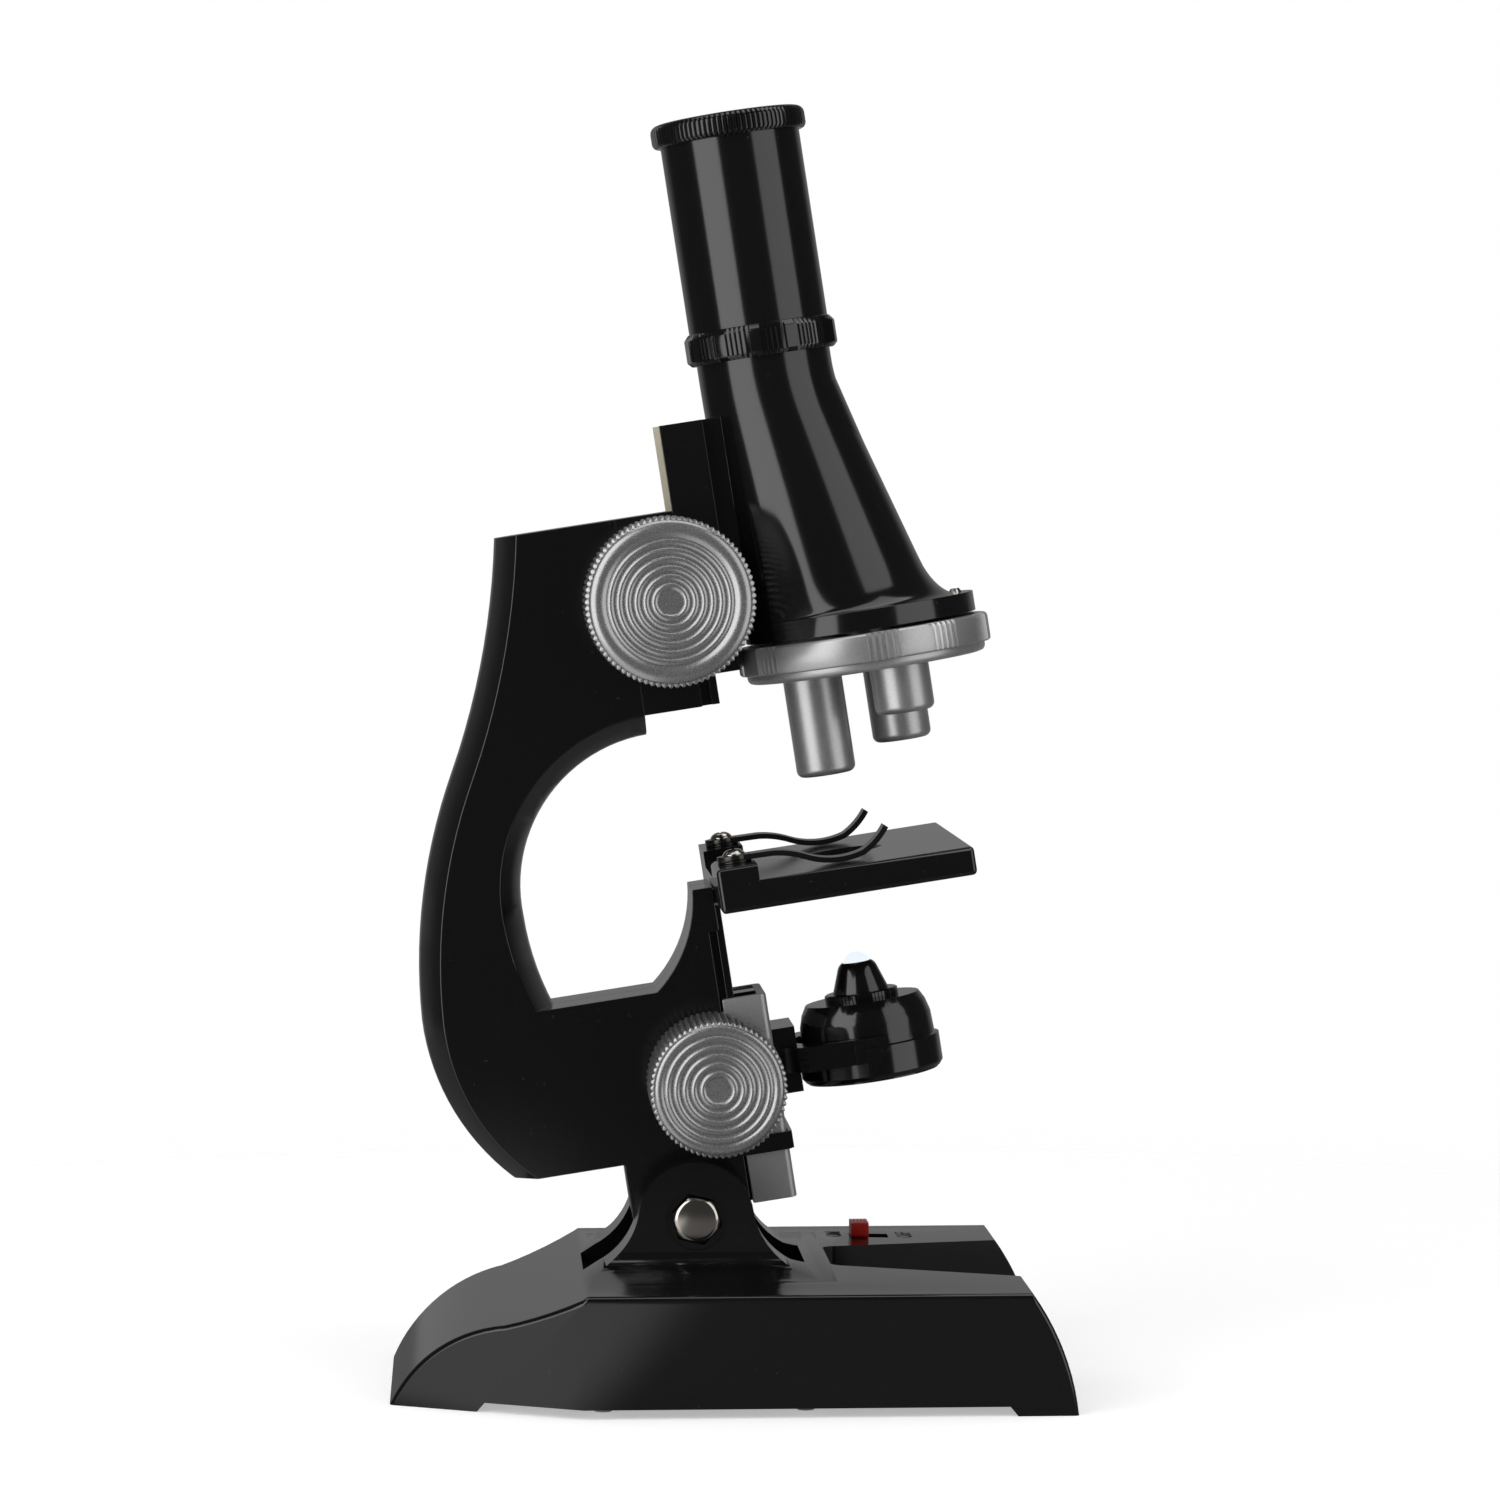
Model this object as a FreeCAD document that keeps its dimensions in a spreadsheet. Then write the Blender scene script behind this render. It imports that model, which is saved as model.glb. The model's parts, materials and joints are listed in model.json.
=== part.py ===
"""A student's compound microscope with a tilting arm, rack focusing, a three-lens turret and a lamp
on a sliding yoke. Millimetres, +Z up, +X from the arm towards the stage, the base centred on the origin.

Everything above the base is drawn upright about the hinge bolt, with X forwards and Z up the optical
axis, and then leans back with the arm.
"""

import FreeCAD, Part
import math
import os

from FreeCAD import Placement, Rotation, Vector
import Sketcher

DOC = FreeCAD.newDocument("Microscope")

# ---------------------------------------------------------------- driving dimensions

DIMENSIONS = {
    # base, in the frame of the ground
    "base_half_width": 42.5,
    "base_height": 20.4,
    "base_front": 57.25,
    "base_top_front": 49.5,
    "base_rear": 57.25,
    "base_rear_half_width": 25.7,
    "slope_start": 25.0,
    "slope_drop": 0.5,
    "knee_reach": 38.0,
    "knee_height": 14.75,
    "front_curve": 43.0,
    "slope_curve": 74.0,
    "rear_curve": 25.0,
    "crown_height": 20.7,
    "foot_lift": 1.6,
    "foot_ramp": 1.3,
    "front_foot": 10.2,
    "rear_foot": 14.6,
    "base_wall": 2.2,
    "roof": 2.5,
    "rear_bay_height": 11.0,
    "rear_bay_reach": 44.0,
    "notch_reach": 18.0,
    "notch_half": 11.2,
    "notch_mouth_half": 22.0,
    "notch_corner": 2.4,
    # hinge towers
    "bolt_forward": -5.4,
    "bolt_height": 30.1,
    "ear_radius": 9.8,
    "ear_face": 20.0,
    "ear_shoulder": 1.5,
    "bell_curve": 12.8,
    "bell_reach": 16.5,
    "bell_rise": 1.5,
    "front_sweep": 25.0,
    "skirt_height": 24.6,
    "slot_half_length": 19.0,
    "slot_floor": 18.8,
    "bolt_radius": 2.5,
    "hex_across": 7.3,
    "hex_head": 3.5,
    "hex_clearance": 0.3,
    "recess_radius": 5.2,
    "recess_depth": 0.5,
    "running": 0.06,
    "slack": 0.2,
    # batteries and switch
    "cell_radius": 7.25,
    "cell_length": 49.5,
    "cell_spacing": 15.3,
    "cell_middle": -4.75,
    "cell_nub": 1.0,
    "cell_nub_radius": 2.75,
    "cover_thick": 1.2,
    "contact_thick": 0.5,
    "rib_thick": 1.6,
    "switch_side": 26.0,
    "switch_forward": 24.0,
    "switch_travel": 3.4,
    "button_long": 3.1,
    "button_wide": 6.0,
    "button_tall": 2.3,
    # arm
    "lean": 8.79,
    "arm_half": 10.0,
    "arm_top": 119.0,
    "arm_seam": 4.8,
    "arm_top_rear": 15.9,
    "neck_rear": 29.3,
    "neck_level": 80.5,
    "belly_rear": 41.0,
    "belly_level": 39.0,
    "heel_rear": 29.8,
    "heel_level": 9.8,
    "lug_rear": 10.5,
    "lug_front": 9.9,
    "neck_curve": 134.0,
    "back_curve": 98.0,
    "belly_curve": 40.8,
    "throat_top": 81.6,
    "throat_rear": 20.9,
    "throat_level": 54.0,
    "throat_curve": 26.2,
    "throat_heel_curve": 48.0,
    "ledge_level": 38.2,
    "ledge_rear": 18.2,
    "post_foot": 0.5,
    "post_curve": 23.0,
    "post_rear": 8.1,
    "post_front": 11.6,
    "post_top": 54.6,
    "post_step": 47.0,
    "bevel_in": 3.7,
    "ridge_half": 3.6,
    "shell_wall": 2.0,
    "shell_rim": 5.5,
    # rails: a T of web and flange on the fixed side, a C around it on the moving side
    "web_half": 7.0,
    "web_depth": 1.3,
    "flange_half": 8.2,
    "flange_depth": 1.3,
    "flange_gap": 0.4,
    "groove_half": 2.6,
    "rack_half": 2.3,
    "rail_gap": 0.2,
    # focusing head, rack and pinion
    "head_height": 33.7,
    "head_front": 14.7,
    "head_web": 1.8,
    "focus_forward": 11.4,
    "focus_drop": 14.8,
    "tooth_module": 0.5,
    "focus_teeth": 12.0,
    "lamp_teeth": 16.0,
    "backlash": 0.12,
    "pinion_half": 1.5,
    "shaft_radius": 2.0,
    "knob_inner": 11.0,
    "knob_outer": 30.4,
    "knob_dish": 0.9,
    "knob_hub": 2.2,
    "focus_knob_radius": 14.4,
    "lamp_knob_radius": 11.6,
    "lamp_knob_forward": 6.85,
    "lamp_knob_level": 22.3,
    # body tube and eyepiece
    "axis_forward": 34.6,
    "carriage_drop": 3.7,
    "carriage_rise": 39.4,
    "carriage_front": 22.1,
    "saddle_half": 7.0,
    "saddle_rise": 6.0,
    "neck_radius": 11.5,
    "cone_rise": 42.6,
    "neck_length": 6.2,
    "tube_wall": 1.8,
    "flare_rise": 6.8,
    "cone_foot_forward": 40.45,
    "cone_foot_radius": 16.45,
    "flare_forward": 42.3,
    "flare_radius": 18.0,
    "flange_thick": 3.4,
    "flange_under": 94.2,
    "turret_forward": 44.2,
    "tube_flange_radius": 20.0,
    "draw_radius": 12.0,
    "draw_length": 37.2,
    "draw_gap": 0.2,
    "spigot_depth": 8.0,
    "ring_radius": 13.05,
    "ring_lap": 0.3,
    "ring_height": 5.5,
    "cap_radius": 13.35,
    "cap_height": 4.2,
    "cap_opening": 7.2,
    # turret and objectives
    "turret_gap": 0.5,
    "grip_height": 4.9,
    "disc_rim": 1.6,
    "grip_radius": 21.85,
    "turret_radius": 20.7,
    "turret_head": 3.9,
    "objective_circle": 9.65,
    "objective_radius": 5.1,
    "long_length": 17.2,
    "medium_length": 13.7,
    "short_length": 8.2,
    "objective_bore": 3.0,
    # stage and clips
    "stage_gap": 0.2,
    "stage_front": 54.9,
    "stage_half": 34.2,
    "stage_top": 56.4,
    "stage_thick": 4.8,
    "stage_hole": 6.0,
    "boss_depth": 7.0,
    "boss_inner": 13.4,
    "boss_height": 2.7,
    "clip_screw_inset": 3.8,
    "clip_side": 22.4,
    "clip_thick": 0.9,
    "clip_half": 2.5,
    "clip_length": 25.6,
    # lamp slide, yoke and lamp
    "slide_front": 17.9,
    "slide_half": 9.8,
    "slide_wall": 1.4,
    "slide_top": 35.2,
    "slide_foot": -0.2,
    "strap_foot": 8.2,
    "strap_top": 11.2,
    "strap_thick": 0.6,
    "yoke_front": 21.9,
    "yoke_drop": 4.8,
    "yoke_rise": 6.5,
    "yoke_half": 7.8,
    "fork_drop": 1.2,
    "fork_rise": 3.1,
    "eye_front": 2.6,
    "fork_outer": 14.1,
    "fork_inner": 12.7,
    "eye_rear": 3.3,
    "eye_proud": 0.4,
    "lamp_level": 22.1,
    "rim_radius": 12.3,
    "rim_drop": 4.5,
    "rim_rise": 1.1,
    "dome_radius": 11.6,
    "dome_top_radius": 9.9,
    "dome_rise": 8.7,
    "collar_radius": 6.35,
    "collar_height": 1.3,
    "cone_radius": 4.85,
    "cone_top_radius": 2.9,
    "cone_height": 5.1,
    "led_radius": 2.4,
    "led_proud": 1.7,
    "pin_radius": 1.5,
    "mirror_radius": 10.6,
}

SHEET = DOC.addObject("Spreadsheet::Sheet", "Sizes")
for row, (alias, number) in enumerate(DIMENSIONS.items(), start=1):
    SHEET.set("A%d" % row, alias)
    SHEET.set("B%d" % row, str(number))
    SHEET.setAlias("B%d" % row, alias)
DOC.recompute()


# levels and places that follow from the driving dimensions
DERIVED = {
    "head_foot": lambda: S.arm_top - S.head_height,
    "focus_level": lambda: S.arm_top - S.focus_drop,
    "flange_level": lambda: S.flange_under + S.flange_thick,
    "cone_foot": lambda: S.flange_under + S.flare_rise,
    "carriage_foot": lambda: S.flange_under - S.carriage_drop,
    "carriage_top": lambda: S.flange_under + S.carriage_rise,
    "neck_foot": lambda: S.flange_under + S.cone_rise,
    "neck_top": lambda: S.neck_foot + S.neck_length,
    "draw_foot": lambda: S.neck_top + S.draw_gap,
    "draw_top": lambda: S.draw_foot + S.draw_length,
    "ring_foot": lambda: S.neck_top - S.ring_lap,
    "ring_top": lambda: S.ring_foot + S.ring_height,
    "cap_top": lambda: S.draw_top + S.cap_height,
    "turret_top": lambda: S.flange_under - S.turret_gap,
    "turret_step": lambda: S.turret_top - S.grip_height,
    "turret_under": lambda: S.turret_step - S.disc_rim,
    "flange_top": lambda: S.stage_top - S.stage_thick - S.flange_gap,
    "stage_rear": lambda: S.post_front + S.stage_gap,
    "boss_front": lambda: S.stage_rear + S.boss_depth,
    "boss_top": lambda: S.stage_top + S.boss_height,
    "clip_screw_forward": lambda: S.stage_rear + S.clip_screw_inset,
    "slide_rear": lambda: S.lug_front + S.rail_gap * 2,
    "yoke_foot": lambda: S.lamp_level - S.yoke_drop,
    "yoke_top": lambda: S.lamp_level + S.yoke_rise,
    "fork_foot": lambda: S.lamp_level - S.fork_drop,
    "fork_top": lambda: S.lamp_level + S.fork_rise,
    "fork_tip": lambda: S.axis_forward + S.eye_front,
    "rim_foot": lambda: S.lamp_level - S.rim_drop,
    "rim_top": lambda: S.lamp_level + S.rim_rise,
    "dome_top": lambda: S.lamp_level + S.dome_rise,
    "collar_top": lambda: S.dome_top + S.collar_height,
    "cone_top": lambda: S.collar_top + S.cone_height,
    "led_top": lambda: S.cone_top + S.led_proud,
}


class Size:
    """A number together with the sheet formula that it comes from."""

    def __init__(self, value, text):
        self.value = float(value)
        self.text = text

    def __add__(self, other):
        other = as_size(other)
        return Size(self.value + other.value, "(%s + %s)" % (self.text, other.text))

    def __sub__(self, other):
        other = as_size(other)
        return Size(self.value - other.value, "(%s - %s)" % (self.text, other.text))

    def __mul__(self, other):
        other = as_size(other)
        return Size(self.value * other.value, "(%s * %s)" % (self.text, other.text))

    def __truediv__(self, other):
        other = as_size(other)
        return Size(self.value / other.value, "(%s / %s)" % (self.text, other.text))

    def __neg__(self):
        return Size(-self.value, "(0 - %s)" % self.text)

    def __radd__(self, other):
        return as_size(other) + self

    def __rsub__(self, other):
        return as_size(other) - self

    def __rmul__(self, other):
        return as_size(other) * self


def as_size(number):
    """Returns a Size for a Size or a plain number."""
    if isinstance(number, Size):
        return number
    return Size(number, "(%r)" % float(number))


def root(size):
    """Returns the square root of a Size."""
    size = as_size(size)
    return Size(math.sqrt(size.value), "sqrt(%s)" % size.text)


class Sizes:
    """Reads every driving dimension, and every level that follows from them, by its name."""

    def __getattr__(self, alias):
        if alias in DERIVED:
            return DERIVED[alias]()
        return Size(SHEET.get(alias), "Sizes." + alias)


S = Sizes()


def bind(thing, path, size):
    """Ties one property of a document object to a Size."""
    thing.setExpression(path, as_size(size).text)


# ---------------------------------------------------------------- frames

GROUND = "ground"
ARM = "arm"


def place(thing, frame):
    """Puts an object in the ground frame, or on the arm, which leans back about the hinge bolt."""
    if frame == GROUND:
        return
    thing.Placement = Placement(
        Vector(S.bolt_forward.value, 0, S.bolt_height.value),
        Rotation(Vector(0, -1, 0), S.lean.value),
    )
    thing.setExpression(".Placement.Base.x", S.bolt_forward.text)
    thing.setExpression(".Placement.Base.z", S.bolt_height.text)
    thing.setExpression(".Placement.Rotation.Angle", S.lean.text + " * 1 deg")


# ---------------------------------------------------------------- bodies and sketches

PLANES = {"XY": "XY_Plane", "XZ": "XZ_Plane", "YZ": "YZ_Plane"}
FULL_TURN = 2 * math.pi
HAIR = 0.01


def arc_centre(start, end, radius):
    """Returns the centre of the arc from start to end: a positive radius turns left on the way."""
    (x0, y0), (x1, y1) = start, end
    chord = math.hypot(x1 - x0, y1 - y0)
    height = math.sqrt(max(radius * radius - chord * chord / 4, 0.0))
    side = 1 if radius > 0 else -1
    return (
        (x0 + x1) / 2 - side * height * (y1 - y0) / chord,
        (y0 + y1) / 2 + side * height * (x1 - x0) / chord,
    )


def pin_point(sketch, geometry, corner, x, y):
    """Fixes one end of a sketch line or arc at x, y from the sketch's origin."""
    for kind, size in (("DistanceX", as_size(x)), ("DistanceY", as_size(y))):
        index = sketch.addConstraint(
            Sketcher.Constraint(kind, -1, 1, geometry, corner, size.value)
        )
        bind(sketch, "Constraints[%d]" % index, size)


def draw(sketch, outline):
    """Draws a closed outline: (x, y) is a line to that point, and (x, y, radius) is an arc to it."""
    ends = []
    first = outline[0]
    points = list(outline[1:]) + [first]
    start = first
    for target in points:
        x0, y0 = as_size(start[0]).value, as_size(start[1]).value
        x1, y1 = as_size(target[0]).value, as_size(target[1]).value
        if len(target) == 2:
            line = Part.LineSegment(Vector(x0, y0, 0), Vector(x1, y1, 0))
            geometry = sketch.addGeometry(line, False)
            ends.append((geometry, 1, 2, start))
        else:
            radius = as_size(target[2])
            cx, cy = arc_centre((x0, y0), (x1, y1), radius.value)
            circle = Part.Circle(Vector(cx, cy, 0), Vector(0, 0, 1), abs(radius.value))
            begin = math.atan2(y0 - cy, x0 - cx)
            finish = math.atan2(y1 - cy, x1 - cx)
            left = radius.value > 0
            if not left:
                begin, finish = finish, begin
            if finish < begin:
                finish += FULL_TURN
            geometry = sketch.addGeometry(Part.ArcOfCircle(circle, begin, finish), False)
            length = radius if left else -radius
            index = sketch.addConstraint(Sketcher.Constraint("Radius", geometry, length.value))
            bind(sketch, "Constraints[%d]" % index, length)
            ends.append((geometry, 1, 2, start) if left else (geometry, 2, 1, start))
        start = target
    for here, after in zip(ends, ends[1:] + ends[:1]):
        sketch.addConstraint(
            Sketcher.Constraint("Coincident", here[0], here[2], after[0], after[1])
        )
    for geometry, corner, _, point in ends:
        pin_point(sketch, geometry, corner, point[0], point[1])


def draw_circle(sketch, x, y, radius):
    """Draws a circle at x, y."""
    x, y, radius = as_size(x), as_size(y), as_size(radius)
    circle = Part.Circle(Vector(x.value, y.value, 0), Vector(0, 0, 1), radius.value)
    geometry = sketch.addGeometry(circle, False)
    index = sketch.addConstraint(Sketcher.Constraint("Radius", geometry, radius.value))
    bind(sketch, "Constraints[%d]" % index, radius)
    pin_point(sketch, geometry, 3, x, y)


def box_outline(x0, x1, y0, y1):
    """Returns the outline of a rectangle."""
    return [(x0, y0), (x1, y0), (x1, y1), (x0, y1)]


def mirrored(outline):
    """Returns the outline with x and the sense of its arcs turned over."""
    turned = []
    for point in outline:
        if len(point) == 2:
            turned.append((-as_size(point[0]), point[1]))
        else:
            turned.append((-as_size(point[0]), point[1], -as_size(point[2])))
    return turned


class Piece:
    """One sub-part: a PartDesign body, its sketches and its features."""

    def __init__(self, label, frame=ARM):
        self.body = DOC.addObject("PartDesign::Body", label)
        self.body.Label = label
        self.label = label
        self.frame = frame
        self.count = 0

    def sketch(self, plane, shift=(0, 0, 0)):
        """Starts a sketch on a plane of the body, moved by a shift in the body's own X, Y and Z."""
        self.count += 1
        name = "%s_sketch_%d" % (self.label, self.count)
        sketch = self.body.newObject("Sketcher::SketchObject", name)
        for feature in self.body.Origin.OriginFeatures:
            if feature.Role == PLANES[plane]:
                sketch.AttachmentSupport = [(feature, "")]
        sketch.MapMode = "FlatFace"
        x, y, z = (as_size(part) for part in shift)
        local = {"XY": (x, y, z), "XZ": (x, z, -y), "YZ": (y, z, x)}[plane]
        sketch.AttachmentOffset = Placement(
            Vector(*(part.value for part in local)), Rotation()
        )
        for letter, part in zip("xyz", local):
            bind(sketch, ".AttachmentOffset.Base." + letter, part)
        return sketch

    def feature(self, kind, sketch, length=None, along=True):
        """Adds a feature to the body from one sketch."""
        self.count += 1
        made = self.body.newObject("PartDesign::" + kind, "%s_%d" % (self.label, self.count))
        made.Profile = sketch
        if length is not None:
            made.Type = "Length"
            made.Length = as_size(length).value
            bind(made, "Length", length)
            made.Reversed = not along
        sketch.Visibility = False
        self.body.Tip = made
        return made

    def slab_sketch(self, plane, outlines, low, high):
        """Returns a sketch at the low end of a slab, and the slab's thickness."""
        low, high = as_size(low), as_size(high)
        level = -high if plane == "XZ" else low
        shift = {"XY": (0, 0, level), "XZ": (0, -level, 0), "YZ": (level, 0, 0)}[plane]
        sketch = self.sketch(plane, shift)
        for outline in outlines:
            if isinstance(outline, Round):
                draw_circle(sketch, outline.x, outline.y, outline.radius)
            else:
                draw(sketch, outline)
        return sketch, high - low

    def pad(self, plane, outlines, low, high):
        """Adds the outlines on a plane as a slab from low to high along the plane's normal."""
        sketch, depth = self.slab_sketch(plane, outlines, low, high)
        return self.feature("Pad", sketch, depth)

    def pocket(self, plane, outlines, low, high):
        """Cuts the outlines on a plane away from low to high along the plane's normal."""
        sketch, depth = self.slab_sketch(plane, outlines, low, high)
        return self.feature("Pocket", sketch, depth, along=False)

    def turned(self, kind, profile, at, axis):
        """Turns a profile of (radius, height) points about an axis through at, along Z or Y."""
        plane = "XZ" if axis == "Z" else "XY"
        sketch = self.sketch(plane, at)
        draw(sketch, profile)
        made = self.feature(kind, sketch)
        made.ReferenceAxis = (sketch, ["V_Axis"])
        made.Angle = 360.0
        return made

    def revolve(self, profile, at, axis="Z"):
        """Adds a turned solid."""
        return self.turned("Revolution", profile, at, axis)

    def groove(self, profile, at, axis="Z"):
        """Cuts a turned solid away."""
        return self.turned("Groove", profile, at, axis)

    def loft(self, kind, plane, sections):
        """Joins sections given as (shift, outline) by ruled walls."""
        sketches = []
        for shift, outline in sections:
            sketch = self.sketch(plane, shift)
            if isinstance(outline, Round):
                draw_circle(sketch, outline.x, outline.y, outline.radius)
            else:
                draw(sketch, outline)
            sketch.Visibility = False
            sketches.append(sketch)
        made = self.feature(kind, sketches[0])
        made.Sections = sketches[1:]
        made.Ruled = True
        return made

    def repeat_line(self, feature, axis_sketch, direction, step, count):
        """Repeats a feature along a straight line."""
        pattern = self.body.newObject("PartDesign::LinearPattern", self.label + "_row")
        pattern.Originals = [feature]
        pattern.Direction = (axis_sketch, [direction])
        pattern.Length = as_size(step).value * (count - 1)
        bind(pattern, "Length", as_size(step) * (count - 1))
        pattern.Occurrences = count
        self.body.Tip = pattern
        return pattern

    def repeat_round(self, feature, axis_sketch, direction, count):
        """Repeats a feature round a full turn."""
        self.count += 1
        pattern = self.body.newObject(
            "PartDesign::PolarPattern", "%s_ring_%d" % (self.label, self.count)
        )
        pattern.Originals = [feature]
        pattern.Axis = (axis_sketch, [direction])
        pattern.Angle = 360.0
        pattern.Occurrences = count
        self.body.Tip = pattern
        return pattern

    def edges(self, wanted):
        """Returns the names of the tip's edges whose middle point passes a test."""
        DOC.recompute()
        shape = self.body.Tip.Shape
        names = []
        for number, edge in enumerate(shape.Edges, start=1):
            middle = edge.valueAt((edge.FirstParameter + edge.LastParameter) / 2)
            if wanted(middle, edge):
                names.append("Edge%d" % number)
        return names

    def dress(self, kind, wanted):
        """Starts a fillet or chamfer on the edges that pass a test."""
        names = self.edges(wanted)
        self.count += 1
        tip = self.body.Tip
        made = self.body.newObject("PartDesign::" + kind, "%s_%d" % (self.label, self.count))
        made.Base = (tip, names)
        self.body.Tip = made
        return made

    def finish(self):
        """Puts the finished body in its frame."""
        place(self.body, self.frame)
        NODES.append(self.body)
        return self.body


class Round:
    """A circle of an outline list."""

    def __init__(self, x, y, radius):
        self.x = x
        self.y = y
        self.radius = radius


NODES = []

# ---------------------------------------------------------------- fasteners from primitives

ALONG = {
    "X": Rotation(Vector(0, 1, 0), 90),
    "Y": Rotation(Vector(1, 0, 0), -90),
    "Z": Rotation(),
}


def set_place(thing, at, axis):
    """Puts a primitive at a point with its own Z along an axis."""
    at = [as_size(part) for part in at]
    thing.Placement = Placement(Vector(*(part.value for part in at)), ALONG[axis])
    for letter, part in zip("xyz", at):
        bind(thing, ".Placement.Base." + letter, part)


def rod(name, at, axis, radius, length):
    """Makes a cylinder."""
    made = DOC.addObject("Part::Cylinder", name)
    bind(made, "Radius", radius)
    bind(made, "Height", length)
    set_place(made, at, axis)
    return made


def taper(name, at, axis, first, last, length):
    """Makes a cone from one radius to another."""
    made = DOC.addObject("Part::Cone", name)
    bind(made, "Radius1", first)
    bind(made, "Radius2", last)
    bind(made, "Height", length)
    set_place(made, at, axis)
    return made


def hexagon(name, at, axis, across, length, turn):
    """Makes a hexagonal prism of a width across flats, turned from corners level, in degrees."""
    made = DOC.addObject("Part::Prism", name)
    made.Polygon = 6
    bind(made, "Circumradius", as_size(across) / root(3))
    bind(made, "Height", length)
    set_place(made, at, axis)
    spun = ALONG[axis].multiply(Rotation(Vector(0, 0, 1), turn))
    made.Placement = Placement(made.Placement.Base, spun)
    return made


def fused(name, parts):
    """Fuses primitives."""
    made = DOC.addObject("Part::MultiFuse", name)
    made.Shapes = parts
    return made


def cut(name, base, tool):
    """Cuts one primitive from another."""
    made = DOC.addObject("Part::Cut", name)
    made.Base = base
    made.Tool = tool
    return made


def node(thing, label, frame=ARM):
    """Names a finished primitive build and puts it in its frame."""
    thing.Label = label
    place(thing, frame)
    NODES.append(thing)
    return thing


def group(label, things, frame=ARM):
    """Makes one node of several separate solids."""
    made = DOC.addObject("Part::Compound", label)
    made.Links = things
    return node(made, label, frame)


def pan_screw(name, at, axis, head, height, shank, length):
    """Makes a screw: a domed head standing away from at along the axis, the shank the other way."""
    x, y, z = (as_size(part) for part in at)
    step = {"X": (1, 0, 0), "Y": (0, 1, 0), "Z": (0, 0, 1)}[axis[-1]]
    sign = -1 if axis.startswith("-") else 1

    def along(distance):
        distance = as_size(distance) * sign
        return (x + distance * step[0], y + distance * step[1], z + distance * step[2])

    start = along(0) if sign > 0 else along(height)
    foot = along(-as_size(length)) if sign > 0 else along(0)
    first = head if sign > 0 else as_size(head) * 0.62
    last = as_size(head) * 0.62 if sign > 0 else head
    cap = taper(name + "_head", start, axis[-1], first, last, height)
    body = rod(name + "_shank", foot, axis[-1], shank, length)
    return fused(name, [cap, body])


# ---------------------------------------------------------------- base

def base_side_outline():
    """Returns the side outline of the base with the flare of its hinge towers on top."""
    half = root(S.ear_radius * S.ear_radius - S.ear_shoulder * S.ear_shoulder)
    shoulder = S.bolt_height + S.ear_shoulder
    bell = S.base_height + S.bell_rise
    rear_foot_end = S.rear_foot - S.base_rear
    front_foot_start = S.base_front - S.front_foot
    return [
        (-S.base_rear, 0, S.rear_curve),
        (rear_foot_end, 0),
        (rear_foot_end + S.foot_ramp, S.foot_lift),
        (front_foot_start - S.foot_ramp, S.foot_lift),
        (front_foot_start, 0),
        (S.base_front, 0),
        (S.base_top_front, S.base_height, S.front_curve),
        (S.notch_reach, S.crown_height + 0.3),
        (S.bolt_forward + S.bell_reach, bell, -S.front_sweep),
        (S.bolt_forward + half, shoulder, -S.bell_curve),
        (S.bolt_forward - half, shoulder, S.ear_radius),
        (S.bolt_forward - S.bell_reach, bell, -S.bell_curve),
        (-S.slope_start, S.base_height - S.slope_drop),
        (-S.knee_reach, S.knee_height, -S.slope_curve),
    ]


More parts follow.
